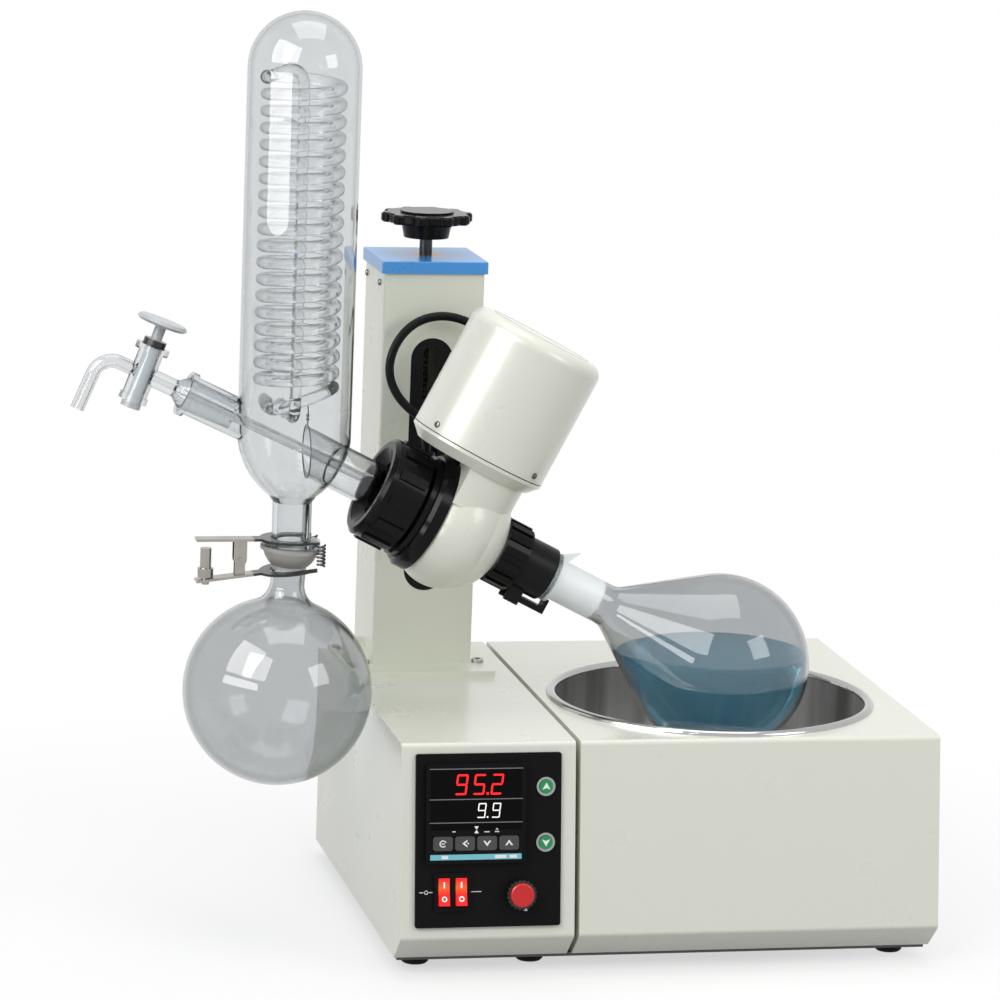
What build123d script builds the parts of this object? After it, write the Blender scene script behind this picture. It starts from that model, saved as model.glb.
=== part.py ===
from build123d import *
import os
from math import cos, radians, sin, sqrt, tan

os.makedirs("parts", exist_ok=True)

# Clearances shared by the fits
fit = 0.3
run_fit = 0.05
glass_fit = 0.1

# Housings: two sheet-metal boxes side by side, fronts leaning back over a chamfered toe
foot_height = 10
foot_radius = 11
foot_inset = 23
foot_front = 55
foot_back = 40
base_thick = 3
base_inset = 3
box_depth = 375
housing_height = 171.5
toe_rise = 20.5
toe_run = 23
front_lean = 8
housing_wall = 2
housing_edge = 4
control_left = -93
control_width = 138
housing_gap = 4

# Bath pan and heater
bath_y = -28.9
pan_radius = 125
pan_room_left = 14.3
pan_room_right = 27.7
pan_wall = 1.5
pan_depth = 132
pan_corner = 18
rim_reach = 8
rim_height = 4
heater_inner = 55
heater_outer = 95
heater_thick = 8
terminal_radius = 2.5
terminal_length = 10

# Control panel and what sits on it, placed along the leaning front
panel_x = -24.5
panel_t = 77
panel_width = 115
panel_height = 135
panel_thick = 3
panel_corner = 2
panel_lap = 4
display_x = -35.5
display_t = 98.3
display_width = 78.5
display_height = 77
display_proud = 5
display_lip = 2.5
display_depth = 60
window_width = 72
window_height = 47
window_rise = 11
window_thick = 1
key_count = 4
key_width = 15.6
key_height = 11
key_pitch = 17.4
key_drop = 22.9
key_thick = 3.6
key_proud = 0.4
key_travel = 0.8
button_x = 20.3
button_top_t = 118.2
button_low_t = 74.8
button_radius = 5.3
button_proud = 3.4
button_travel = 2.5
button_length = 9
socket_radius = 7.4
socket_proud = 2
socket_barrel = 6.6
socket_depth = 18
rocker_left_x = -59.8
rocker_right_x = -46.2
rocker_t = 37.2
rocker_width = 8.6
rocker_length = 21.6
rocker_rise = 3.4
rocker_dip = 2.2
rocker_belly = 6
rocker_belly_half = 4
rocker_tilt = 8
rocker_pivot = 3.5
rocker_room = 0.9
bezel_width = 29
bezel_height = 30
bezel_proud = 2
bezel_lip = 1
bezel_depth = 14
knob_x = 0.4
knob_t = 34.9
knob_radius = 11.8
knob_height = 8.5
knob_gap = 0.6
knob_flutes = 20
flute_radius = 1
knob_shaft = 3
knob_shaft_length = 10
knob_cap_radius = 9.4
knob_cap_height = 3
pot_bush = 4.5
pot_radius = 8
pot_depth = 14

# Power inlet at the back of the control housing
inlet_x = -24
inlet_z = 60
inlet_width = 50
inlet_height = 28
inlet_flange = 2
inlet_depth = 22
inlet_body_width = 28
inlet_body_height = 20
inlet_mouth_width = 24
inlet_mouth_height = 16
inlet_mouth_depth = 15
inlet_pin_width = 2
inlet_pin_height = 5
inlet_pin_length = 12
inlet_pin_pitch = 7

# Column, its base, cap and slot
column_x = -28
column_y = 126
column_size = 83
column_wall = 2.5
column_height = 325
column_edge = 2
plate_width = 112
plate_front = 71
plate_back = 55
plate_thick = 4.6
cap_size = 88
cap_thick = 10
cap_edge = 2
cap_spigot = 8
slot_length = 210
slot_width = 35
slot_rise = 62
slit_width = 14
slit_margin = 7

# Lift: guide rods, lead screw, carriage and handwheel
rod_radius = 6
rod_spread = 50
rod_back = 12
screw_radius = 5.25
bush_radius = 11
foot_bush_radius = 13
foot_bush_height = 14
foot_bush_floor = 4
lift_nut_radius = 12
lift_nut_flange = 16
lift_nut_flange_thick = 5
carriage_width = 72
carriage_front = 36
carriage_back = 26
carriage_height = 70
wheel_rise = 27
wheel_thick = 8
wheel_radius = 34
wheel_lobes = 10
lobe_ring = 31.5
lobe_radius = 6.5
wheel_edge = 1.5
wheel_boss = 21
wheel_boss_foot = 18.5
wheel_boss_height = 12.5
wheel_disc = 22
wheel_disc_height = 1.5
wheel_cover = 2

# Head: turning axis tilted down towards the bath, motor square to it
head_x = -38
head_y = -42.7
head_z = 333
shaft_tilt = 27
body_left = -16
body_left_radius = 46
body_belly = 4
body_belly_radius = 52
body_right = 26
body_right_radius = 44
body_nose_mid = 36.5
body_nose_mid_radius = 37
body_nose = 43
body_nose_radius = 27
gear_room = 42
gear_room_end = 20
boss_radius = 24
boss_reach = 54
arm_radius = 22
arm_clear = 8
neck_thick = 12
neck_height = 60

# Spindle, its bearings and the drive
duct_radius = 13
duct_bore = 10
duct_left = -50
spindle_radius = 17
spindle_left = -30
spindle_right = 62
spindle_shoulder = 20
spindle_collar = 22
bearing_outer = 28
bearing_width = 10
bearing_right = 24
bearing_left = -28
crown_radius = 38
crown_face = 5.6
crown_thick = 6
crown_teeth = 40
tooth_inner = 29
tooth_height = 3
tooth_width = 2.4
tooth_taper = 15
pinion_teeth = 10
pinion_root = 6.2
pinion_tip = 9.6
pinion_tooth_root = 2.6
pinion_tooth_tip = 1
pinion_inner = 30.5
pinion_length = 7
pinion_room = 14

# Motor and its cover
motor_offset = -5
motor_shaft = 5
motor_seat = 62
motor_flange = 51
motor_radius = 56.5
motor_flange_edge = 8
pedestal_radius = 46
pedestal_start = 20
motor_cover_length = 104
motor_cover_wall = 4
motor_cover_edge = 11
motor_cap_radius = 42
motor_cap_thick = 2
motor_can_radius = 40
motor_can_length = 84
motor_can_wall = 6
rotor_radius = 30
rotor_gap = 0.8

# Flange ring, seal and union nut on the condenser side
ring_radius = 48.5
ring_thick = 12
ring_edge = 3
ring_step_radius = 43
ring_step = 5
spigot_radius = 33
spigot_bore = 20
spigot_length = 19
seal_left = -48
seal_width = 8
union_length = 33
union_radius = 41.5
union_collar_radius = 38
union_collar = 8
union_collar_slope = 3
union_lip = 24
union_lip_thick = 4
union_ribs = 12
union_rib_height = 1.6
union_rib_width = 8
union_rib_inset = 2

# Spindle nut, flask clip and its lever
nut_gap = 2.5
nut_length = 21
nut_radius = 26
nut_ribs = 14
nut_rib_height = 1.5
nut_rib_width = 6
nut_rib_inset = 2
clip_length = 27
clip_radius = 22
clip_edge = 1.5
ear_gap = 13
ear_thick = 4
ear_length = 12
ear_drop = 32
ear_root = 16
pivot_along = 8
pivot_drop = 27
lever_pin = 1.6
lever_thick = 5
lever_heel = 2
lever_hook = 3.2
lever_slot_width = 5
lever_slot_length = 14
lever_slot_along = 16

# Evaporating flask on its ground joint
joint_start = 97
joint_length = 40
joint_radius = 14.3
joint_taper = 0.05
joint_shoulder = 2
flask_wall = 2.2
flask_radius = 73
flask_centre = 257
flask_cone = 34
neck_radius = 16.6
neck_rim = 20
neck_rim_thick = 3.5
neck_blend = 15
rim_lug_height = 8
rim_lug_length = 13
rim_lug_thick = 2.5

# Condenser jacket
cond_x = -162.3
cond_radius = 44.5
glass_wall = 2.2
cond_top = 736
shoulder_rise = 3.666
funnel_mid_radius = 36.5
funnel_fall = 24
funnel_end_radius = 19
funnel_throat = 20
outlet_radius = 15.5
outlet_fall = 5
outlet_bore = 11.5
arm_glass_radius = 18
arm_glass_end = -57
arm_inner_end = -138
arm_mouth_x = -152
arm_flange_radius = 30
arm_flange_thick = 5
feed_tilt = 25
feed_arm_radius = 15.5
feed_arm_start = 40
feed_arm_length = 97
feed_rim_radius = 18
feed_rim = 5
vacuum_z = 640
nozzle_radius = 5
nozzle_bore = 3
nozzle_length = 26
nozzle_collar = 1.9
nozzle_collar_length = 9
stub_length = 7
nozzle_beads = 3
bead_height = 1
bead_width = 3
bead_pitch = 6

# Cooling coil
coil_radius = 29.2
coil_tube = 4.6
coil_pitch = 13.1
coil_turns = 18.5
coil_start = 442
coil_bend = 12
coil_arch_ease = 32
coil_arch_drop = 12
coil_inlet_ease = 14
coil_bead = 5.4
coil_inlet_z = 420
coil_inlet_x = -15
coil_inlet_y = 24
coil_outlet_z = 416

# Feed tube, stopcock and spout
feed_tube_radius = 4
feed_tube_bore = 2.2
feed_tube_reach = 110
feed_plug_length = 42
feed_plug_taper = 0.05
feed_neck_radius = 7
feed_neck_slope = 8
valve_reach = 133
valve_lean = 20
barrel_radius = 10
barrel_half = 23
barrel_bore = 6
collar_radius = 13.5
collar_height = 5
foot_collar_radius = 11.5
spout_radius = 5.5
spout_bore = 3.5
spout_turn = 16
spout_out = 36
spout_run = 18
spout_drop = 43
plug_tail = 5
plug_tail_radius = 8
plug_stem = 4.5
plug_stem_length = 17
plug_seal_radius = 9
plug_seal_height = 5
handle_radius = 20.5
handle_thick = 4.5
handle_edge = 2

# Ball joint, receiver and clamp
ball_z = 317
ball_radius = 19
ball_depth = 14
ball_flange = 23
ball_flange_thick = 3
cup_fit = 0.2
cup_wall = 3.2
cup_drop = 2
cup_rim = 24
cup_rim_thick = 3
receiver_lean = 3.7
receiver_drop = 118.7
receiver_radius = 75
receiver_wall = 2.4
receiver_neck = 13.6
receiver_flare_drop = 31.2
receiver_flare = 18
jaw_thick = 2
jaw_radius = 25
jaw_mouth = 16.2
jaw_prong = 18
jaw_prong_half = 22
clamp_handle = 75.7
clamp_handle_width = 13
clamp_pivot_x = -40.7
clamp_pivot_z = 305.5
clamp_pin = 1.8
cheek_radius = 5
cheek_thick = 1.5
cheek_inner = 4.2
lower_jaw_tilt = 7
lower_jaw_drop = 21
thumb_x = -67.5
thumb_radius = 3
thumb_post = 4.4
thumb_grip = 6.2
thumb_grip_height = 7
thumb_foot_z = 285
thumb_grip_z = 291
thumb_length = 29

# Motor cable and its glands
cable_radius = 3.6
cable_lead = 23
cable_bend_share = 0.45
gland_radius = 7
gland_root = 8
gland_length = 15
gland_along = 142
arm_gland_x = -38
arm_gland_y = 46
arm_gland_z = 374
cable_between = [
    (6, 68, 474),
    (-20, 71, 483),
    (-46, 68, 478),
    (-64, 63, 460),
    (-70, 58, 436),
    (-60, 52, 414),
    (-38, 46, 398),
]

# Heights and places worked out from the sizes above
base_z = foot_height + base_thick
toe_z = base_z + toe_rise
top_z = base_z + housing_height
front_y = -box_depth / 2
back_y = box_depth / 2
lean_run = (top_z - toe_z) * tan(radians(front_lean))
control_right = control_left + control_width
bath_left = control_right + housing_gap
bath_x = bath_left + pan_room_left + pan_radius
bath_width = pan_room_left + 2 * pan_radius + pan_room_right
bath_right = bath_left + bath_width
pan_z = top_z - pan_depth
key_t = display_t - key_drop
column_z = top_z + plate_thick
column_top = column_z + column_height
cap_top = column_top + cap_thick
column_front = column_y - column_size / 2
column_inner = column_size - 2 * column_wall
slot_mid = column_z + slot_rise + slot_length / 2
carriage_z = head_z - carriage_height / 2
wheel_z = cap_top + wheel_rise
arm_front = head_y + boss_reach
arm_back = column_front - arm_clear
cone_end = joint_start + joint_length
nut_left = body_nose + nut_gap
nut_right = nut_left + nut_length
ring_left = body_left - ring_thick
step_left = ring_left - ring_step
spigot_left = step_left - spigot_length
union_left = arm_glass_end - union_lip_thick - union_collar
union_right = union_left + union_length
cover_end = motor_seat + motor_cover_length
coil_top = coil_start + coil_pitch * coil_turns
jaw_z = ball_z + ball_flange_thick

# Planes and axes
lean = radians(front_lean)
front_face = Plane(origin=(0, front_y, toe_z), x_dir=(1, 0, 0), z_dir=(0, -cos(lean), sin(lean)))
back_face = Plane(origin=(inlet_x, back_y, inlet_z), x_dir=(-1, 0, 0), z_dir=(0, 1, 0))
column_face = Plane(origin=(column_x, column_front, slot_mid), x_dir=(1, 0, 0), z_dir=(0, -1, 0))
bath_axis = Axis((bath_x, bath_y, 0), (0, 0, 1))
bath_profile = Plane(origin=(bath_x, bath_y, 0), x_dir=(1, 0, 0), z_dir=(0, -1, 0))
tilt = radians(shaft_tilt)
along = Vector(cos(tilt), 0, -sin(tilt))
upward = Vector(sin(tilt), 0, cos(tilt))
head_point = Vector(head_x, head_y, head_z)
shaft_axis = Axis(head_point, along)
shaft_profile = Plane(origin=head_point, x_dir=upward, z_dir=(0, 1, 0))
motor_point = head_point + along * motor_offset
motor_axis = Axis(motor_point, upward)
motor_profile = Plane(origin=motor_point, x_dir=along, z_dir=(0, -1, 0))
cond_axis = Axis((cond_x, head_y, 0), (0, 0, 1))
cond_profile = Plane(origin=(cond_x, head_y, 0), x_dir=(1, 0, 0), z_dir=(0, -1, 0))
cross_point = Vector(cond_x, head_y, head_z + (head_x - cond_x) * tan(tilt))
cond_shoulder = cross_point.Z + shoulder_rise
funnel_mid = cond_shoulder - funnel_fall
funnel_end = funnel_mid - funnel_throat
outlet_top = funnel_end - outlet_fall
mouth_point = Vector(arm_mouth_x, head_y, head_z + (head_x - arm_mouth_x) * tan(tilt))
feed_angle = radians(feed_tilt)
feed_out = Vector(-cos(feed_angle), 0, sin(feed_angle))
feed_axis = Axis(cross_point, feed_out)
feed_profile = Plane(origin=cross_point, x_dir=(sin(feed_angle), 0, cos(feed_angle)), z_dir=(0, -1, 0))
valve_point = cross_point + feed_out * valve_reach
valve_angle = radians(valve_lean)
valve_up = Vector(sin(valve_angle), 0, cos(valve_angle))
valve_axis = Axis(valve_point, valve_up)
valve_profile = Plane(origin=valve_point, x_dir=(cos(valve_angle), 0, -sin(valve_angle)), z_dir=(0, -1, 0))
ball_point = Vector(cond_x, head_y, ball_z)
hang = radians(receiver_lean)
receiver_axis = Axis(ball_point, (-sin(hang), 0, -cos(hang)))
receiver_profile = Plane(origin=ball_point, x_dir=(cos(hang), 0, -sin(hang)), z_dir=(0, -1, 0))
clamp_pivot = Vector(cond_x + clamp_pivot_x, head_y, clamp_pivot_z)
jaw_angle = radians(lower_jaw_tilt)
lower_jaw_plane = Plane(
    origin=(cond_x, head_y, ball_z - lower_jaw_drop),
    x_dir=(cos(jaw_angle), 0, sin(jaw_angle)),
    z_dir=(-sin(jaw_angle), 0, cos(jaw_angle)),
)


def across_shaft(s):
    """Plane square to the shaft, a distance s from the head centre."""
    return Plane(origin=head_point + along * s, x_dir=upward, z_dir=along)


def across_motor(n):
    """Plane square to the motor axis, a distance n from the shaft."""
    return Plane(origin=motor_point + upward * n, x_dir=along, z_dir=upward)


def turned(plane, axis, points, mode=Mode.ADD):
    """Solid of revolution of a straight-sided profile."""
    with BuildSketch(plane) as profile:
        with BuildLine():
            Polyline(*points, close=True)
        make_face()
    revolve(profile.sketch, axis=axis, mode=mode)


def write(part, label):
    """Label a finished piece and write its file."""
    part.label = label
    export_step(part, "parts/" + label + ".step")


def housing_shell(builder, left, width):
    """Folded shell, open below, with a leaning front and a chamfered toe."""
    with BuildSketch(Plane.YZ.offset(left)) as side:
        Polygon(
            (front_y + toe_run, base_z),
            (front_y, toe_z),
            (front_y + lean_run, top_z),
            (back_y, top_z),
            (back_y, base_z),
            align=None,
        )
    extrude(side.sketch, amount=width)
    ridges = builder.edges().filter_by(Axis.X).group_by(Axis.Z)
    fillet(ridges[-1] + ridges[1], radius=housing_edge)
    floor = builder.faces().sort_by(Axis.Z)[0]
    offset(amount=-housing_wall, openings=floor)


# Control housing: openings for the panel and the inlet
with BuildPart() as control_housing:
    housing_shell(control_housing, control_left, control_width)
    with BuildSketch(front_face):
        with Locations((panel_x, panel_t)):
            Rectangle(panel_width - 2 * panel_lap, panel_height - 2 * panel_lap)
    extrude(amount=-2 * housing_wall, mode=Mode.SUBTRACT)
    with BuildSketch(back_face):
        Rectangle(inlet_body_width + 2 * fit, inlet_body_height + 2 * fit)
    extrude(amount=-2 * housing_wall, mode=Mode.SUBTRACT)
write(control_housing.part, "control_housing")

# Bath housing with the round opening that the pan hangs in
with BuildPart() as bath_housing:
    housing_shell(bath_housing, bath_left, bath_width)
    with BuildSketch(Plane.XY.offset(top_z)):
        with Locations((bath_x, bath_y)):
            Circle(pan_radius + pan_wall + fit)
    extrude(amount=-2 * housing_wall, mode=Mode.SUBTRACT)
write(bath_housing.part, "bath_housing")

# Base plate under both housings
base_front = front_y + toe_run + base_inset
with BuildPart() as base_plate:
    with BuildSketch(Plane.XY.offset(foot_height)):
        with Locations((control_left + base_inset, base_front)):
            Rectangle(
                bath_right - control_left - 2 * base_inset,
                back_y - base_inset - base_front,
                align=(Align.MIN, Align.MIN),
            )
    extrude(amount=base_thick)
write(base_plate.part, "base_plate")

# Six rubber feet
foot_xs = (control_left + foot_inset, control_right - foot_inset, bath_right - foot_inset)
with BuildPart() as feet:
    with BuildSketch():
        with Locations(*[(x, y) for x in foot_xs for y in (front_y + foot_front, back_y - foot_back)]):
            Circle(foot_radius)
    extrude(amount=foot_height)
    rims = feet.edges().group_by(Axis.Z)[0]
    chamfer(rims, length=base_thick / 2)
write(feet.part, "feet")

# Steel bath pan with a rolled rim
with BuildPart() as bath_pan:
    with BuildSketch(bath_profile):
        with BuildLine():
            wall_r = pan_radius + pan_wall
            rim_r = pan_radius + rim_reach
            inner_corner = pan_corner - pan_wall
            floor_z = pan_z + pan_wall
            Line((0, pan_z), (wall_r - pan_corner, pan_z))
            RadiusArc((wall_r - pan_corner, pan_z), (wall_r, pan_z + pan_corner), -pan_corner)
            Polyline((wall_r, pan_z + pan_corner), (wall_r, top_z), (rim_r, top_z))
            crown = ((rim_r + pan_radius) / 2, top_z + rim_height)
            ThreePointArc((rim_r, top_z), crown, (pan_radius, top_z))
            Line((pan_radius, top_z), (pan_radius, floor_z + inner_corner))
            inner_r = pan_radius - inner_corner
            RadiusArc((pan_radius, floor_z + inner_corner), (inner_r, floor_z), inner_corner)
            Polyline((inner_r, floor_z), (0, floor_z), (0, pan_z))
        make_face()
    revolve(axis=bath_axis)
write(bath_pan.part, "bath_pan")

# Ring heater with two terminals, clamped under the pan
with BuildPart() as heater_ring:
    with BuildSketch(Plane.XY.offset(pan_z)):
        with Locations((bath_x, bath_y)):
            Circle(heater_outer)
            Circle(heater_inner, mode=Mode.SUBTRACT)
    extrude(amount=-heater_thick)
    with BuildSketch(Plane.XY.offset(pan_z - heater_thick)):
        with Locations((bath_x, bath_y)):
            with PolarLocations((heater_inner + heater_outer) / 2, 2):
                Circle(terminal_radius)
    extrude(amount=-terminal_length)
write(heater_ring.part, "heater_ring")

# Control panel plate on the leaning front
button_places = [(button_x, button_top_t), (button_x, button_low_t)]
bezel_x = (rocker_left_x + rocker_right_x) / 2
with BuildPart() as control_panel:
    with BuildSketch(front_face):
        with Locations((panel_x, panel_t)):
            RectangleRounded(panel_width, panel_height, panel_corner)
        with Locations((display_x, display_t)):
            Rectangle(
                display_width - 2 * display_lip + 2 * fit,
                display_height - 2 * display_lip + 2 * fit,
                mode=Mode.SUBTRACT,
            )
        with Locations(*button_places):
            Circle(socket_barrel + glass_fit, mode=Mode.SUBTRACT)
        with Locations((bezel_x, rocker_t)):
            Rectangle(
                bezel_width - 2 * bezel_lip + 2 * glass_fit,
                bezel_height - 2 * bezel_lip + 2 * glass_fit,
                mode=Mode.SUBTRACT,
            )
        with Locations((knob_x, knob_t)):
            Circle(pot_bush + glass_fit, mode=Mode.SUBTRACT)
    extrude(amount=panel_thick)
write(control_panel.part, "control_panel")

# Display case with a window recess and four key pockets
key_xs = [display_x + (i - (key_count - 1) / 2) * key_pitch for i in range(key_count)]
case_front = front_face.offset(panel_thick + display_proud)
pocket_depth = key_thick - key_proud + key_travel + fit
with BuildPart() as display_case:
    with BuildSketch(front_face.offset(panel_thick)):
        with Locations((display_x, display_t)):
            RectangleRounded(display_width, display_height, panel_corner)
    extrude(amount=display_proud)
    with BuildSketch(front_face.offset(panel_thick)):
        with Locations((display_x, display_t)):
            Rectangle(display_width - 2 * display_lip, display_height - 2 * display_lip)
    extrude(amount=-display_depth)
    with BuildSketch(case_front):
        with Locations((display_x, display_t + window_rise)):
            Rectangle(window_width, window_height)
    extrude(amount=-window_thick, mode=Mode.SUBTRACT)
    with BuildSketch(case_front):
        with Locations(*[(x, key_t) for x in key_xs]):
            Rectangle(key_width + 2 * fit, key_height + 2 * fit)
    extrude(amount=-pocket_depth, mode=Mode.SUBTRACT)
write(display_case.part, "display_case")

# Display window in its recess
with BuildPart() as display_window:
    with BuildSketch(case_front):
        with Locations((display_x, display_t + window_rise)):
            Rectangle(window_width - 2 * glass_fit, window_height - 2 * glass_fit)
    extrude(amount=-window_thick)
write(display_window.part, "display_window")

# Four display keys
for number, key_x in enumerate(key_xs, start=1):
    with BuildPart() as display_key:
        with BuildSketch(case_front.offset(key_proud)):
            with Locations((key_x, key_t)):
                RectangleRounded(key_width, key_height, panel_corner)
        extrude(amount=-key_thick)
    write(display_key.part, f"display_key_{number}")

# Push-button sockets: steel rims with barrels through the panel
socket_front = front_face.offset(panel_thick + socket_proud)
button_room = socket_proud - button_proud + button_length + button_travel + fit
with BuildPart() as button_sockets:
    with BuildSketch(front_face.offset(panel_thick)):
        with Locations(*button_places):
            Circle(socket_radius)
    extrude(amount=socket_proud)
    with BuildSketch(front_face.offset(panel_thick)):
        with Locations(*button_places):
            Circle(socket_barrel)
    extrude(amount=-socket_depth)
    with BuildSketch(socket_front):
        with Locations(*button_places):
            Circle(button_radius + fit)
    extrude(amount=-button_room, mode=Mode.SUBTRACT)
write(button_sockets.part, "button_sockets")

# Two push buttons
for label, button_t in (("up_button", button_top_t), ("down_button", button_low_t)):
    with BuildPart() as push_button:
        with BuildSketch(socket_front.offset(button_proud - socket_proud)):
            with Locations((button_x, button_t)):
                Circle(button_radius)
        extrude(amount=-button_length)
    write(push_button.part, label)

# One bezel for both rockers
rocker_places = [(rocker_left_x, rocker_t), (rocker_right_x, rocker_t)]
with BuildPart() as rocker_bezel:
    with BuildSketch(front_face.offset(panel_thick)):
        with Locations((bezel_x, rocker_t)):
            RectangleRounded(bezel_width, bezel_height, panel_corner)
    extrude(amount=bezel_proud)
    with BuildSketch(front_face.offset(panel_thick)):
        with Locations((bezel_x, rocker_t)):
            Rectangle(bezel_width - 2 * bezel_lip, bezel_height - 2 * bezel_lip)
    extrude(amount=-bezel_depth)
    with BuildSketch(front_face.offset(panel_thick + bezel_proud)):
        with Locations(*rocker_places):
            Rectangle(rocker_width + 2 * fit, rocker_length + 2 * rocker_room)
    extrude(amount=-bezel_depth, mode=Mode.SUBTRACT)
write(rocker_bezel.part, "rocker_bezel")

# Two rockers, each at rest with its upper end pressed
rest_tilt = radians(front_lean + rocker_tilt)
for label, rocker_x in (("heating_rocker", rocker_left_x), ("rotary_rocker", rocker_right_x)):
    pivot = front_face.from_local_coords((rocker_x, rocker_t, rocker_pivot))
    rocker_side = Plane(origin=pivot, x_dir=(0, sin(rest_tilt), cos(rest_tilt)), z_dir=(1, 0, 0))
    half = rocker_length / 2
    with BuildPart() as rocker:
        with BuildSketch(rocker_side):
            Polygon(
                (-half, 0),
                (-half, rocker_rise),
                (0, rocker_dip),
                (half, rocker_rise),
                (half, 0),
                (rocker_belly_half, -rocker_belly),
                (-rocker_belly_half, -rocker_belly),
                align=None,
            )
        extrude(amount=rocker_width / 2, both=True)
    write(rocker.part, label)

# Speed potentiometer behind the panel
with BuildPart() as speed_pot:
    with BuildSketch(front_face):
        with Locations((knob_x, knob_t)):
            Circle(pot_radius)
    extrude(amount=-pot_depth)
    with BuildSketch(front_face):
        with Locations((knob_x, knob_t)):
            Circle(pot_bush)
    extrude(amount=panel_thick)
    with BuildSketch(front_face.offset(panel_thick)):
        with Locations((knob_x, knob_t)):
            Circle(knob_shaft + run_fit)
    extrude(amount=-knob_shaft_length - fit, mode=Mode.SUBTRACT)
write(speed_pot.part, "speed_pot")

# Speed knob: fluted skirt with its shaft and top cap
knob_base = front_face.offset(panel_thick + knob_gap)
with BuildPart() as speed_knob:
    with BuildSketch(knob_base):
        with Locations((knob_x, knob_t)):
            Circle(knob_radius)
            with PolarLocations(knob_radius, knob_flutes):
                Circle(flute_radius, mode=Mode.SUBTRACT)
    extrude(amount=knob_height)
    with BuildSketch(knob_base):
        with Locations((knob_x, knob_t)):
            Circle(knob_shaft)
    extrude(amount=-knob_gap - knob_shaft_length)
    with BuildSketch(knob_base.offset(knob_height)):
        with Locations((knob_x, knob_t)):
            Circle(knob_cap_radius)
    extrude(amount=knob_cap_height)
    fillet(speed_knob.faces().sort_by(Axis.Y)[0].edges(), radius=knob_cap_height / 2)
write(speed_knob.part, "speed_knob")

# Power inlet: flanged socket with three flat pins
with BuildPart() as power_inlet:
    with BuildSketch(back_face):
        RectangleRounded(inlet_width, inlet_height, panel_corner)
    extrude(amount=inlet_flange)
    with BuildSketch(back_face):
        Rectangle(inlet_body_width, inlet_body_height)
    extrude(amount=-inlet_depth)
    with BuildSketch(back_face.offset(inlet_flange)):
        Rectangle(inlet_mouth_width, inlet_mouth_height)
    extrude(amount=-inlet_mouth_depth, mode=Mode.SUBTRACT)
    with BuildSketch(back_face.offset(inlet_flange - inlet_mouth_depth)):
        with GridLocations(inlet_pin_pitch, 0, 3, 1):
            Rectangle(inlet_pin_width, inlet_pin_height)
    extrude(amount=inlet_pin_length)
write(power_inlet.part, "power_inlet")

# Column base plate on the control housing
with BuildPart() as column_base:
    with BuildSketch(Plane.XY.offset(top_z)):
        with Locations((column_x, column_y - plate_front)):
            Rectangle(plate_width, plate_front + plate_back, align=(Align.CENTER, Align.MIN))
    extrude(amount=plate_thick)
write(column_base.part, "column_base")

# Square column tube with the arched slot
with BuildPart() as column_tube:
    with BuildSketch(Plane.XY.offset(column_z)):
        with Locations((column_x, column_y)):
            RectangleRounded(column_size, column_size, column_edge)
            Rectangle(column_inner, column_inner, mode=Mode.SUBTRACT)
    extrude(amount=column_height)
    with BuildSketch(column_face):
        SlotOverall(slot_length, slot_width, rotation=90)
    extrude(amount=-2 * column_wall, mode=Mode.SUBTRACT)
write(column_tube.part, "column_tube")

# Rubber seal in the slot, slit for the neck of the head arm
with BuildPart() as slot_seal:
    with BuildSketch(column_face):
        SlotOverall(slot_length - 2 * glass_fit, slot_width - 2 * glass_fit, rotation=90)
        SlotOverall(slot_length - 2 * slit_margin, slit_width, rotation=90, mode=Mode.SUBTRACT)
    extrude(amount=-column_wall)
write(slot_seal.part, "slot_seal")

# Column cap with a spigot inside the tube
with BuildPart() as column_cap:
    with BuildSketch(Plane.XY.offset(column_top)):
        with Locations((column_x, column_y)):
            RectangleRounded(cap_size, cap_size, column_edge)
    extrude(amount=cap_thick)
    fillet(column_cap.faces().sort_by(Axis.Z)[-1].edges(), radius=cap_edge / 2)
    with BuildSketch(Plane.XY.offset(column_top)):
        with Locations((column_x, column_y)):
            Rectangle(column_inner - 2 * fit, column_inner - 2 * fit)
    extrude(amount=-cap_spigot)
    with BuildSketch(Plane.XY.offset(cap_top)):
        with Locations((column_x, column_y)):
            Circle(bush_radius)
    extrude(amount=-cap_thick - cap_spigot, mode=Mode.SUBTRACT)
write(column_cap.part, "column_cap")

# Bushes that carry the lead screw at both ends
with BuildPart() as screw_bushes:
    with BuildSketch(Plane.XY.offset(column_top - cap_spigot)):
        with Locations((column_x, column_y)):
            Circle(bush_radius)
            Circle(screw_radius + run_fit, mode=Mode.SUBTRACT)
    extrude(amount=cap_spigot + cap_thick)
    with BuildSketch(Plane.XY.offset(column_z)):
        with Locations((column_x, column_y)):
            Circle(foot_bush_radius)
    extrude(amount=foot_bush_height)
    with BuildSketch(Plane.XY.offset(column_z + foot_bush_floor)):
        with Locations((column_x, column_y)):
            Circle(screw_radius + run_fit)
    extrude(amount=foot_bush_height, mode=Mode.SUBTRACT)
write(screw_bushes.part, "screw_bushes")

# Two guide rods between base plate and cap
rod_places = [(column_x + side * rod_spread / 2, column_y + rod_back) for side in (-1, 1)]
with BuildPart() as guide_rods:
    with BuildSketch(Plane.XY.offset(column_z)):
        with Locations(*rod_places):
            Circle(rod_radius)
    extrude(amount=column_height - cap_spigot)
write(guide_rods.part, "guide_rods")

# Lead screw
screw_foot = column_z + foot_bush_floor
with BuildPart() as lead_screw:
    with BuildSketch(Plane.XY.offset(screw_foot)):
        with Locations((column_x, column_y)):
            Circle(screw_radius)
    extrude(amount=wheel_z + wheel_thick - wheel_cover - screw_foot)
write(lead_screw.part, "lead_screw")

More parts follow.
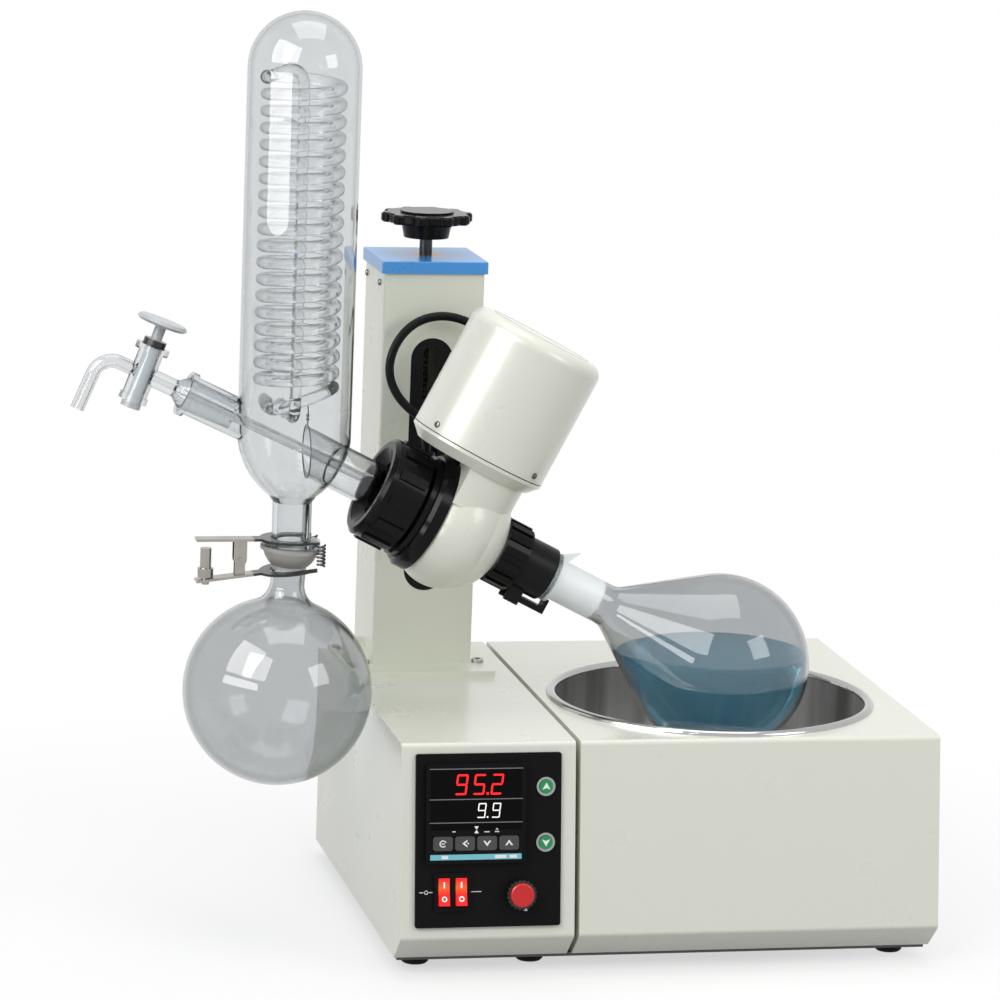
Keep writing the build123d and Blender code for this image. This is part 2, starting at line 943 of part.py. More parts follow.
# Lobed handwheel with its boss and top disc
with BuildPart() as handwheel:
    with BuildSketch(Plane.XY.offset(wheel_z)):
        with Locations((column_x, column_y)):
            Circle(wheel_radius)
            with PolarLocations(lobe_ring, wheel_lobes):
                Circle(lobe_radius)
    extrude(amount=wheel_thick)
    chamfer(handwheel.edges().group_by(Axis.Z)[-1] + handwheel.edges().group_by(Axis.Z)[0], length=wheel_edge)
    with BuildSketch(Plane.XY.offset(wheel_z + wheel_thick)):
        with Locations((column_x, column_y)):
            Circle(wheel_disc)
    extrude(amount=wheel_disc_height)
    with BuildSketch(Plane.XY.offset(wheel_z)):
        with Locations((column_x, column_y)):
            Circle(wheel_boss)
    with BuildSketch(Plane.XY.offset(wheel_z - wheel_boss_height)):
        with Locations((column_x, column_y)):
            Circle(wheel_boss_foot)
    loft()
    with BuildSketch(Plane.XY.offset(wheel_z + wheel_thick - wheel_cover)):
        with Locations((column_x, column_y)):
            Circle(screw_radius)
    extrude(amount=-wheel_thick - wheel_boss_height, mode=Mode.SUBTRACT)
write(handwheel.part, "handwheel")

# Carriage block that slides on the guide rods
with BuildPart() as carriage_block:
    with BuildSketch(Plane.XY.offset(carriage_z)):
        with Locations((column_x, column_y - carriage_front)):
            Rectangle(carriage_width, carriage_front + carriage_back, align=(Align.CENTER, Align.MIN))
        with Locations(*rod_places):
            Circle(rod_radius + run_fit, mode=Mode.SUBTRACT)
        with Locations((column_x, column_y)):
            Circle(lift_nut_radius, mode=Mode.SUBTRACT)
    extrude(amount=carriage_height)
write(carriage_block.part, "carriage_block")

# Flanged lift nut in the carriage
with BuildPart() as lift_nut:
    with BuildSketch(Plane.XY.offset(carriage_z)):
        with Locations((column_x, column_y)):
            Circle(lift_nut_radius)
    extrude(amount=carriage_height)
    with BuildSketch(Plane.XY.offset(carriage_z + carriage_height)):
        with Locations((column_x, column_y)):
            Circle(lift_nut_flange)
    extrude(amount=lift_nut_flange_thick)
    with BuildSketch(Plane.XY.offset(carriage_z)):
        with Locations((column_x, column_y)):
            Circle(screw_radius + run_fit)
    extrude(amount=carriage_height + lift_nut_flange_thick, mode=Mode.SUBTRACT)
write(lift_nut.part, "lift_nut")

# Head arm: flat neck through the slit, round arm to the gearbox
arm_plane = Plane(origin=(column_x, arm_front, head_z), x_dir=(-1, 0, 0), z_dir=(0, 1, 0))
arm_gland_foot = head_z + arm_radius - gland_root
with BuildPart() as head_arm:
    with BuildSketch(arm_plane):
        Circle(arm_radius)
    extrude(amount=arm_back - arm_front)
    with BuildSketch(arm_plane.offset(arm_back - arm_front)):
        Rectangle(neck_thick, neck_height)
    extrude(amount=column_y - carriage_front - arm_back)
    with BuildSketch(Plane.XY.offset(arm_gland_foot)):
        with Locations((arm_gland_x, arm_gland_y)):
            Circle(gland_radius)
    extrude(amount=arm_radius, mode=Mode.SUBTRACT)
write(head_arm.part, "head_arm")

# Gearbox housing: egg-shaped casting with a motor flange and a boss for the arm
with BuildPart() as gearbox_housing:
    with BuildSketch(shaft_profile):
        with BuildLine():
            Polyline((0, body_nose), (0, body_left), (body_left_radius, body_left))
            ThreePointArc(
                (body_left_radius, body_left),
                (body_belly_radius, body_belly),
                (body_right_radius, body_right),
            )
            ThreePointArc(
                (body_right_radius, body_right),
                (body_nose_mid_radius, body_nose_mid),
                (body_nose_radius, body_nose),
            )
            Line((body_nose_radius, body_nose), (0, body_nose))
        make_face()
    revolve(axis=shaft_axis)
    with BuildSketch(Plane(origin=(column_x, head_y, head_z), x_dir=(-1, 0, 0), z_dir=(0, 1, 0))):
        Circle(boss_radius)
    extrude(amount=boss_reach)
    with BuildSketch(across_motor(pedestal_start)):
        Circle(pedestal_radius)
        with Locations((body_left - motor_offset, 0)):
            Rectangle(
                2 * pedestal_radius,
                2 * pedestal_radius,
                align=(Align.MIN, Align.CENTER),
                mode=Mode.INTERSECT,
            )
    extrude(amount=motor_flange - pedestal_start)
    turned(
        motor_profile,
        motor_axis,
        [
            (0, motor_flange),
            (motor_radius - motor_flange_edge, motor_flange),
            (motor_radius, motor_flange + motor_flange_edge),
            (motor_radius, motor_seat),
            (0, motor_seat),
        ],
    )
    turned(
        shaft_profile,
        shaft_axis,
        [
            (0, body_left),
            (gear_room, body_left),
            (gear_room, gear_room_end),
            (bearing_outer, gear_room_end),
            (bearing_outer, bearing_right + bearing_width),
            (spindle_shoulder, bearing_right + bearing_width),
            (spindle_shoulder, body_nose),
            (0, body_nose),
        ],
        mode=Mode.SUBTRACT,
    )
    with BuildSketch(across_motor(motor_seat)):
        Circle(pinion_room)
    extrude(amount=-motor_seat, mode=Mode.SUBTRACT)
write(gearbox_housing.part, "gearbox_housing")

# Flange ring: cover of the gearbox with the bearing seat and the threaded spigot
with BuildPart() as flange_ring:
    turned(
        shaft_profile,
        shaft_axis,
        [
            (spigot_bore, spigot_left),
            (spigot_radius, spigot_left),
            (spigot_radius, step_left),
            (ring_step_radius, step_left),
            (ring_step_radius, ring_left),
            (ring_radius - ring_edge, ring_left),
            (ring_radius, ring_left + ring_edge),
            (ring_radius, body_left),
            (bearing_outer, body_left),
            (bearing_outer, bearing_left),
            (spigot_bore, bearing_left),
        ],
    )
write(flange_ring.part, "flange_ring")

# Two bearings of the spindle
with BuildPart() as spindle_bearings:
    for left in (bearing_left, bearing_right):
        with BuildSketch(across_shaft(left)):
            Circle(bearing_outer)
            Circle(spindle_radius + run_fit, mode=Mode.SUBTRACT)
        extrude(amount=bearing_width)
write(spindle_bearings.part, "spindle_bearings")

# Hollow spindle with a shoulder for the gear and a collar for the nut
with BuildPart() as spindle:
    turned(
        shaft_profile,
        shaft_axis,
        [
            (duct_radius + glass_fit, spindle_left),
            (spindle_radius, spindle_left),
            (spindle_radius, crown_face + crown_thick),
            (spindle_shoulder, crown_face + crown_thick),
            (spindle_shoulder, bearing_right - fit),
            (spindle_radius, bearing_right - fit),
            (spindle_radius, body_nose + fit),
            (spindle_collar, body_nose + fit),
            (spindle_collar, nut_left),
            (spindle_radius, nut_left),
            (spindle_radius, spindle_right),
            (duct_radius + glass_fit, spindle_right),
        ],
    )
write(spindle.part, "spindle")

# Crown gear on the spindle
with BuildPart() as crown_gear:
    with BuildSketch(across_shaft(crown_face)):
        Circle(crown_radius)
        Circle(spindle_radius, mode=Mode.SUBTRACT)
    extrude(amount=crown_thick)
    with BuildSketch(across_shaft(crown_face)):
        with PolarLocations((tooth_inner + crown_radius) / 2, crown_teeth, start_angle=180 / crown_teeth):
            Rectangle(crown_radius - tooth_inner, tooth_width)
    extrude(amount=-tooth_height, taper=tooth_taper)
write(crown_gear.part, "crown_gear")

# Motor shaft with its pinion and rotor
with BuildPart() as motor_rotor:
    with BuildSketch(across_motor(pinion_inner)):
        Circle(pinion_root)
        with PolarLocations(0, pinion_teeth):
            Polygon(
                (0, -pinion_tooth_root / 2),
                (pinion_root, -pinion_tooth_root / 2),
                (pinion_tip, -pinion_tooth_tip / 2),
                (pinion_tip, pinion_tooth_tip / 2),
                (pinion_root, pinion_tooth_root / 2),
                (0, pinion_tooth_root / 2),
                align=None,
            )
    extrude(amount=pinion_length)
    with BuildSketch(across_motor(pinion_inner)):
        Circle(motor_shaft)
    extrude(amount=motor_seat + motor_can_length - motor_can_wall - fit - pinion_inner)
    with BuildSketch(across_motor(motor_seat + motor_can_wall + fit)):
        Circle(rotor_radius - rotor_gap)
    extrude(amount=motor_can_length - 2 * motor_can_wall - 2 * fit)
write(motor_rotor.part, "motor_rotor")

# Motor stator can
with BuildPart() as motor_stator:
    with BuildSketch(across_motor(motor_seat)):
        Circle(motor_can_radius)
    extrude(amount=motor_can_length)
    with BuildSketch(across_motor(motor_seat + motor_can_wall)):
        Circle(rotor_radius)
    extrude(amount=motor_can_length - 2 * motor_can_wall, mode=Mode.SUBTRACT)
    with BuildSketch(across_motor(motor_seat)):
        Circle(motor_shaft + run_fit)
    extrude(amount=motor_can_wall, mode=Mode.SUBTRACT)
write(motor_stator.part, "motor_stator")

# Motor cover: deep cup with a rounded crown and a recess for the end cap
gland_centre = motor_point + upward * gland_along
gland_plane = Plane(
    origin=(gland_centre.X, head_y + motor_radius - gland_root, gland_centre.Z),
    x_dir=(-1, 0, 0),
    z_dir=(0, 1, 0),
)
with BuildPart() as motor_cover:
    with BuildSketch(across_motor(motor_seat)):
        Circle(motor_radius)
    extrude(amount=motor_cover_length)
    crown = motor_cover.faces().sort_by(motor_axis)[-1]
    fillet(crown.edges(), radius=motor_cover_edge)
    offset(amount=-motor_cover_wall, openings=motor_cover.faces().sort_by(motor_axis)[0])
    with BuildSketch(across_motor(cover_end)):
        Circle(motor_cap_radius)
    extrude(amount=-motor_cap_thick, mode=Mode.SUBTRACT)
    with BuildSketch(gland_plane):
        Circle(gland_radius)
    extrude(amount=gland_root, mode=Mode.SUBTRACT)
write(motor_cover.part, "motor_cover")

# End cap of the motor
with BuildPart() as motor_cap:
    with BuildSketch(across_motor(cover_end)):
        Circle(motor_cap_radius - glass_fit)
    extrude(amount=-motor_cap_thick)
write(motor_cap.part, "motor_cap")

# Lip seal between the spigot and the turning duct
with BuildPart() as shaft_seal:
    with BuildSketch(across_shaft(seal_left)):
        Circle(spigot_bore)
        Circle(duct_radius + run_fit, mode=Mode.SUBTRACT)
    extrude(amount=seal_width)
write(shaft_seal.part, "shaft_seal")

# Ribbed union nut that clamps the condenser flange
with BuildPart() as union_nut:
    turned(
        shaft_profile,
        shaft_axis,
        [
            (spigot_radius, union_left),
            (union_collar_radius, union_left),
            (union_radius, union_left + union_collar_slope),
            (union_radius, union_right),
            (spigot_radius + glass_fit, union_right),
            (spigot_radius + glass_fit, arm_glass_end),
            (union_lip, arm_glass_end),
            (union_lip, arm_glass_end - union_lip_thick),
        ],
    )
    with BuildSketch(across_shaft(union_left + union_collar)):
        with PolarLocations(union_radius, union_ribs):
            Rectangle(2 * union_rib_height, union_rib_width)
    extrude(amount=union_length - union_collar - union_rib_inset)
write(union_nut.part, "union_nut")

# Ribbed nut on the spindle end
with BuildPart() as spindle_nut:
    turned(
        shaft_profile,
        shaft_axis,
        [
            (spindle_radius, nut_left),
            (nut_radius, nut_left),
            (nut_radius, nut_right),
            (duct_radius + glass_fit, nut_right),
            (duct_radius + glass_fit, spindle_right),
            (spindle_radius, spindle_right),
        ],
    )
    with BuildSketch(across_shaft(nut_left)):
        with PolarLocations(nut_radius, nut_ribs):
            Rectangle(2 * nut_rib_height, nut_rib_width)
    extrude(amount=nut_length - nut_rib_inset)
write(spindle_nut.part, "spindle_nut")

# Flask clip: collar with two ears for the lever
ear_along = nut_right + pivot_along
with BuildPart() as flask_clip:
    with BuildSketch(across_shaft(nut_right)):
        Circle(clip_radius)
        Circle(duct_radius + glass_fit, mode=Mode.SUBTRACT)
    extrude(amount=clip_length)
    fillet(flask_clip.faces().sort_by(shaft_axis)[-1].outer_wire().edges(), radius=clip_edge)
    for side in (-1, 1):
        with BuildSketch(shaft_profile.offset(side * ear_gap / 2)):
            with Locations((-ear_root, ear_along)):
                Rectangle(ear_drop - ear_root, ear_length, align=(Align.MAX, Align.CENTER))
            with Locations((-pivot_drop, ear_along)):
                Circle(lever_pin + run_fit, mode=Mode.SUBTRACT)
        extrude(amount=side * ear_thick)
write(flask_clip.part, "flask_clip")

# Clip lever: slotted hook on its own pin
lever_top = -pivot_drop + lever_thick / 2
lever_low = -pivot_drop - lever_thick / 2
hook_face = joint_start + neck_rim_thick + fit
hook_end = hook_face + lever_hook
with BuildPart() as clip_lever:
    with BuildSketch(shaft_profile):
        Polygon(
            (lever_top, ear_along - lever_heel),
            (lever_top, hook_face),
            (-neck_radius - 2 * fit, hook_face),
            (-neck_radius - 2 * fit, hook_end),
            (lever_low, hook_end),
            (lever_low, ear_along - lever_heel),
            align=None,
        )
    extrude(amount=ear_gap / 2 - fit, both=True)
    with BuildSketch(Plane(origin=head_point - upward * pivot_drop, x_dir=along, z_dir=upward)):
        with Locations((ear_along + lever_slot_along, 0)):
            SlotOverall(lever_slot_length, lever_slot_width)
    extrude(amount=lever_thick, both=True, mode=Mode.SUBTRACT)
    with BuildSketch(shaft_profile):
        with Locations((-pivot_drop, ear_along)):
            Circle(lever_pin)
    extrude(amount=ear_gap / 2 + ear_thick, both=True)
write(clip_lever.part, "clip_lever")

# Vapour duct: glass tube through the spindle, ending in the ground cone
cone_tip = joint_radius - joint_taper * joint_length
with BuildPart() as vapour_duct:
    turned(
        shaft_profile,
        shaft_axis,
        [
            (duct_bore, duct_left),
            (duct_radius, duct_left),
            (duct_radius, joint_start - joint_shoulder),
            (joint_radius, joint_start),
            (cone_tip, cone_end),
            (duct_bore, cone_end),
        ],
    )
write(vapour_duct.part, "vapour_duct")

# Evaporating flask: ground neck, cone and bulb
cone_angle = radians(flask_cone)
lug_root = neck_radius - flask_wall / 2


def flask_bulb(neck, bulb):
    """Neck, cone and bulb of the flask as a profile from the neck to the tip."""
    tangent = (bulb * cos(cone_angle), flask_centre - bulb * sin(cone_angle))
    root = tangent[1] - (tangent[0] - neck) / tan(cone_angle)
    tip = flask_centre + bulb
    FilletPolyline((neck, cone_end), (neck, root), tangent, radius=neck_blend)
    middle_angle = (cone_angle - radians(90)) / 2
    middle = (bulb * cos(middle_angle), flask_centre - bulb * sin(middle_angle))
    ThreePointArc(tangent, middle, (0, tip))
    Polyline((0, tip), (0, cone_end), (neck, cone_end))


with BuildPart() as evaporating_flask:
    with BuildSketch(shaft_profile):
        with BuildLine():
            flask_bulb(neck_radius, flask_radius)
        make_face()
    revolve(axis=shaft_axis)
    turned(
        shaft_profile,
        shaft_axis,
        [
            (0, joint_start),
            (neck_rim, joint_start),
            (neck_rim, joint_start + neck_rim_thick),
            (neck_radius, joint_start + neck_rim_thick),
            (neck_radius, cone_end),
            (0, cone_end),
        ],
    )
    with BuildSketch(shaft_profile):
        Polygon(
            (lug_root, joint_start),
            (neck_rim, joint_start),
            (neck_rim + rim_lug_height, joint_start + rim_lug_length),
            (lug_root, joint_start + rim_lug_length / 2),
            align=None,
        )
    extrude(amount=rim_lug_thick / 2, both=True)
    with BuildSketch(shaft_profile):
        with BuildLine():
            flask_bulb(neck_radius - flask_wall, flask_radius - flask_wall)
        make_face()
    revolve(axis=shaft_axis, mode=Mode.SUBTRACT)
    turned(
        shaft_profile,
        shaft_axis,
        [
            (0, joint_start),
            (joint_radius + glass_fit, joint_start),
            (cone_tip + glass_fit, cone_end),
            (0, cone_end),
        ],
        mode=Mode.SUBTRACT,
    )
write(evaporating_flask.part, "evaporating_flask")

# Condenser jacket: domed tube with a funnel, a ball below and two side arms
dome_z = cond_top - cond_radius
inner_radius = cond_radius - glass_wall
ball_end = sqrt(ball_radius**2 - ball_depth**2)
back_wall = Plane(origin=(cond_x, head_y, 0), x_dir=(-1, 0, 0), z_dir=(0, 1, 0))
nozzle_end = cond_radius + nozzle_length
stub_end = cond_radius + stub_length
stub_places = ((0, coil_outlet_z), (-coil_inlet_x, coil_inlet_z))
plug_start = feed_arm_length - feed_plug_length
plug_mouth = feed_arm_radius - glass_wall
plug_tip = plug_mouth - feed_plug_taper * feed_plug_length


def domed_tube(radius, funnel_inset, outlet):
    """Half profile of the tube from its crown down to the outlet."""
    quarter = radius * sin(radians(45))
    ThreePointArc((0, dome_z + radius), (quarter, dome_z + quarter), (radius, dome_z))
    Line((radius, dome_z), (radius, cond_shoulder))
    ThreePointArc(
        (radius, cond_shoulder),
        (funnel_mid_radius - funnel_inset, funnel_mid + funnel_inset / 2),
        (funnel_end_radius - funnel_inset, funnel_end + funnel_inset / 2),
    )
    Line((funnel_end_radius - funnel_inset, funnel_end + funnel_inset / 2), (outlet, outlet_top))


with BuildPart() as condenser_jacket:
    with BuildSketch(cond_profile):
        with BuildLine():
            domed_tube(cond_radius, 0, outlet_radius)
            Polyline(
                (outlet_radius, outlet_top),
                (outlet_radius, jaw_z),
                (ball_flange, jaw_z),
                (ball_flange, ball_z),
                (ball_radius, ball_z),
            )
            RadiusArc((ball_radius, ball_z), (ball_end, ball_z - ball_depth), ball_radius)
            Polyline((ball_end, ball_z - ball_depth), (0, ball_z - ball_depth), (0, cond_top))
        make_face()
    revolve(axis=cond_axis)
    with BuildSketch(across_shaft(arm_glass_end)):
        Circle(arm_flange_radius)
    extrude(amount=arm_flange_thick)
    with BuildSketch(across_shaft(arm_glass_end)):
        Circle(arm_glass_radius)
    extrude(amount=arm_inner_end - arm_glass_end)
    with BuildSketch(Plane(origin=cross_point + feed_out * feed_arm_start, x_dir=(0, 1, 0), z_dir=feed_out)):
        Circle(feed_arm_radius)
    extrude(amount=feed_arm_length - feed_arm_start)
    with BuildSketch(Plane(origin=cross_point + feed_out * feed_arm_length, x_dir=(0, 1, 0), z_dir=feed_out)):
        Circle(feed_rim_radius)
    extrude(amount=-feed_rim)
    with BuildSketch(back_wall):
        with Locations((0, vacuum_z)):
            Circle(nozzle_radius)
    extrude(amount=nozzle_end)
    for bead in range(nozzle_beads):
        with BuildSketch(back_wall.offset(nozzle_end - bead * bead_pitch)):
            with Locations((0, vacuum_z)):
                Circle(nozzle_radius + bead_height)
        extrude(amount=-bead_width)
    with BuildSketch(cond_profile):
        with BuildLine():
            domed_tube(inner_radius, glass_wall, outlet_bore)
            Polyline(
                (outlet_bore, outlet_top),
                (outlet_bore, ball_z - ball_depth),
                (0, ball_z - ball_depth),
                (0, dome_z + inner_radius),
            )
        make_face()
    revolve(axis=cond_axis, mode=Mode.SUBTRACT)
    with BuildSketch(across_shaft(arm_inner_end)):
        Circle(arm_glass_radius)
    extrude(amount=arm_glass_end - arm_inner_end)
    with BuildSketch(across_shaft(arm_inner_end)):
        Circle(arm_glass_radius - glass_wall)
    extrude(amount=arm_glass_end + arm_flange_thick - arm_inner_end, mode=Mode.SUBTRACT)
    with BuildSketch(Plane(origin=mouth_point, x_dir=(0, 1, 0), z_dir=(-1, 0, 0))):
        Rectangle(2 * arm_glass_radius + fit, 3 * arm_glass_radius)
    extrude(amount=1.2 * arm_glass_radius, mode=Mode.SUBTRACT)
    turned(
        feed_profile,
        feed_axis,
        [
            (0, feed_arm_start / 2),
            (plug_tip, feed_arm_start / 2),
            (plug_tip, plug_start),
            (plug_mouth, feed_arm_length),
            (0, feed_arm_length),
        ],
        mode=Mode.SUBTRACT,
    )
    with BuildSketch(back_wall.offset(nozzle_end)):
        with Locations((0, vacuum_z)):
            Circle(nozzle_bore)
    extrude(amount=inner_radius - nozzle_end - nozzle_radius, mode=Mode.SUBTRACT)
    with BuildSketch(back_wall):
        with Locations(*stub_places):
            Circle(coil_tube)
    extrude(amount=cond_radius, mode=Mode.SUBTRACT)
write(condenser_jacket.part, "condenser_jacket")

# Cooling coil: helix, arch into the centre tube, and two stubs through the back wall
with BuildPart() as cooling_coil:
    with BuildLine(Plane(origin=(cond_x, head_y, coil_start), x_dir=(-1, 0, 0), z_dir=(0, 0, 1))) as winding:
        Helix(coil_pitch, coil_pitch * coil_turns, coil_radius)
    turns = winding.edges()[0]
    with BuildSketch(Plane(origin=turns @ 0, z_dir=turns % 0)):
        Circle(coil_tube)
    sweep(path=turns, is_frenet=True)
    with BuildLine() as inlet_tail:
        inlet_bend = Vector(cond_x + coil_inlet_x, head_y + coil_inlet_y, coil_inlet_z)
        Line((cond_x + coil_inlet_x, head_y + stub_end, coil_inlet_z), inlet_bend)
        Bezier(
            inlet_bend,
            inlet_bend - Vector(0, coil_inlet_ease, 0),
            (turns @ 0) - (turns % 0) * coil_inlet_ease,
            turns @ 0,
        )
    with BuildSketch(Plane(origin=inlet_tail.wires()[0] @ 0, z_dir=(0, -1, 0))):
        Circle(coil_tube)
    sweep(path=inlet_tail.wires()[0])
    with BuildLine() as outlet_tail:
        drop = Vector(cond_x, head_y, coil_top - coil_arch_drop)
        Bezier(
            turns @ 1,
            (turns @ 1) + (turns % 1) * coil_arch_ease,
            drop + Vector(0, 0, coil_arch_ease),
            drop,
        )
        FilletPolyline(
            drop,
            (cond_x, head_y, coil_outlet_z),
            (cond_x, head_y + stub_end, coil_outlet_z),
            radius=coil_bend,
        )
    with BuildSketch(Plane(origin=turns @ 1, z_dir=turns % 1)):
        Circle(coil_tube)
    sweep(path=outlet_tail.wires()[0])
    with Locations(turns @ 0, turns @ 1):
        Sphere(coil_bead)
write(cooling_coil.part, "cooling_coil")

# Hose nozzles that slip over the stubs of the coil
with BuildPart() as hose_nozzles:
    with BuildSketch(back_wall.offset(cond_radius + fit)):
        with Locations(*stub_places):
            Circle(coil_tube + nozzle_collar)
    extrude(amount=nozzle_collar_length)
    with BuildSketch(back_wall.offset(cond_radius + fit)):
        with Locations(*stub_places):
            Circle(coil_tube)
    extrude(amount=nozzle_length - fit)
    for bead in range(nozzle_beads):
        with BuildSketch(back_wall.offset(nozzle_end - bead * bead_pitch)):
            with Locations(*stub_places):
                Circle(coil_tube + bead_height)
        extrude(amount=-bead_width)
    with BuildSketch(back_wall.offset(nozzle_end)):
        with Locations(*stub_places):
            Circle(nozzle_bore)
    extrude(amount=-nozzle_length, mode=Mode.SUBTRACT)
    with BuildSketch(back_wall.offset(cond_radius)):
        with Locations(*stub_places):
            Circle(coil_tube + run_fit)
    extrude(amount=stub_length, mode=Mode.SUBTRACT)
write(hose_nozzles.part, "hose_nozzles")

# Feed tube: long tip through the condenser, ground plug, stopcock barrel and bent spout
spout_corner = valve_point + feed_out * spout_out
spout_tip = spout_corner + Vector(-spout_run, 0, -spout_drop)
spout_start = Plane(origin=valve_point, x_dir=(0, 1, 0), z_dir=feed_out)
with BuildPart() as feed_tube:
    turned(
        feed_profile,
        feed_axis,
        [
            (feed_tube_bore, -feed_tube_reach),
            (feed_tube_radius, -feed_tube_reach),
            (feed_tube_radius, plug_start),
            (plug_tip - glass_fit, plug_start),
            (plug_mouth - glass_fit, feed_arm_length),
            (feed_neck_radius, feed_arm_length + feed_neck_slope),
            (feed_neck_radius, valve_reach),
            (feed_tube_bore, valve_reach),
        ],
    )
    with BuildLine() as spout_path:
        FilletPolyline(valve_point, spout_corner, spout_tip, radius=spout_turn)
    with BuildSketch(spout_start):
        Circle(spout_radius)
    sweep(path=spout_path.wires()[0])
    turned(
        valve_profile,
        valve_axis,
        [
            (0, -barrel_half),
            (foot_collar_radius, -barrel_half),
            (foot_collar_radius, collar_height - barrel_half),
            (barrel_radius, collar_height - barrel_half),
            (barrel_radius, barrel_half - collar_height),
            (collar_radius, barrel_half - collar_height),
            (collar_radius, barrel_half),
            (0, barrel_half),
        ],
    )
    with BuildSketch(spout_start):
        Circle(spout_bore)
    sweep(path=spout_path.wires()[0], mode=Mode.SUBTRACT)
    with BuildSketch(spout_start):
        Circle(feed_tube_bore)
    extrude(amount=feed_arm_length - valve_reach, mode=Mode.SUBTRACT)
    turned(
        valve_profile,
        valve_axis,
        [(0, -barrel_half), (barrel_bore, -barrel_half), (barrel_bore, barrel_half), (0, barrel_half)],
        mode=Mode.SUBTRACT,
    )
write(feed_tube.part, "feed_tube")

# Stopcock plug with its retaining nut, seal and disc handle
plug_radius = barrel_bore - run_fit
plug_foot = -barrel_half - glass_fit
plug_top = barrel_half + glass_fit
seal_top = plug_top + plug_seal_height
handle_base = plug_top + plug_stem_length
handle_top = handle_base + handle_thick
with BuildPart() as stopcock_plug:
    turned(
        valve_profile,
        valve_axis,
        [
            (0, plug_foot - plug_tail),
            (plug_tail_radius, plug_foot - plug_tail),
            (plug_tail_radius, plug_foot),
            (plug_radius, plug_foot),
            (plug_radius, plug_top),
            (plug_seal_radius, plug_top),
            (plug_seal_radius, seal_top),
            (plug_stem, seal_top),
            (plug_stem, handle_base),
            (handle_radius - handle_edge, handle_base),
            (handle_radius, handle_base + handle_edge),
            (handle_radius - handle_edge, handle_top),
            (0, handle_top),
        ],
    )
    with BuildSketch(spout_start):
        Circle(feed_tube_bore)
    extrude(amount=barrel_radius, both=True, mode=Mode.SUBTRACT)
write(stopcock_plug.part, "stopcock_plug")

# Receiver flask: cup of the ball joint, flared neck and bulb, hanging slightly out of plumb
flare_radius = receiver_neck + receiver_flare


def receiver_side(wall):
    """Neck, flare and bulb of the receiver as a profile, set in by a wall."""
    neck = receiver_neck - wall
    bulb = receiver_radius - wall
    flare = receiver_flare + wall
    centre_drop = receiver_drop - receiver_flare_drop
    reach = sqrt(flare_radius**2 + centre_drop**2)
    meet = (bulb * flare_radius / reach, bulb * centre_drop / reach - receiver_drop)
    Line((neck, -ball_depth), (neck, -receiver_flare_drop))
    RadiusArc((neck, -receiver_flare_drop), meet, -flare)
    ThreePointArc(meet, (bulb, -receiver_drop), (0, -receiver_drop - bulb))
    Polyline((0, -receiver_drop - bulb), (0, -ball_depth), (neck, -ball_depth))


with BuildPart() as receiver_flask:
    with BuildSketch(receiver_profile):
        with BuildLine():
            receiver_side(0)
        make_face()
    revolve(axis=receiver_axis)
    with Locations(ball_point):
        Sphere(ball_radius + cup_fit + cup_wall)
    turned(
        receiver_profile,
        receiver_axis,
        [
            (0, -cup_drop),
            (cup_rim, -cup_drop),
            (cup_rim, -cup_drop - cup_rim_thick),
            (0, -cup_drop - cup_rim_thick),
        ],
    )
    turned(
        receiver_profile,
        receiver_axis,
        [
            (0, -cup_drop),
            (cup_rim, -cup_drop),
            (cup_rim, cup_rim),
            (0, cup_rim),
        ],
        mode=Mode.SUBTRACT,
    )
    with Locations(ball_point):
        Sphere(ball_radius + cup_fit, mode=Mode.SUBTRACT)
    with BuildSketch(receiver_profile):
        with BuildLine():
            receiver_side(receiver_wall)
        make_face()
    revolve(axis=receiver_axis, mode=Mode.SUBTRACT)
write(receiver_flask.part, "receiver_flask")

# Upper clamp jaw: fork on the ball flange, handle, cheeks and pivot pin
pivot_face = Plane(origin=clamp_pivot, x_dir=(1, 0, 0), z_dir=(0, -1, 0))


def jaw_outline():
    """Fork with a round mouth, two prongs and a handle."""
    Circle(jaw_radius)
    Rectangle(jaw_prong, 2 * jaw_prong_half, align=(Align.MIN, Align.CENTER))
    Rectangle(clamp_handle, clamp_handle_width, align=(Align.MAX, Align.CENTER))
    Circle(jaw_mouth, mode=Mode.SUBTRACT)
    Rectangle(jaw_radius, 2 * jaw_mouth, align=(Align.MIN, Align.CENTER), mode=Mode.SUBTRACT)


with BuildPart() as clamp_upper_jaw:
    with BuildSketch(Plane(origin=(cond_x, head_y, jaw_z))):
        jaw_outline()
    extrude(amount=jaw_thick)
    for side in (-1, 1):
        with BuildSketch(pivot_face.offset(side * cheek_inner)):
            Circle(cheek_radius)
            Rectangle(2 * cheek_radius, jaw_z - clamp_pivot_z, align=(Align.CENTER, Align.MIN))
        extrude(amount=side * cheek_thick)
    with BuildSketch(pivot_face):
        Circle(clamp_pin)
    extrude(amount=cheek_inner + 2 * cheek_thick, both=True)
write(clamp_upper_jaw.part, "clamp_upper_jaw")

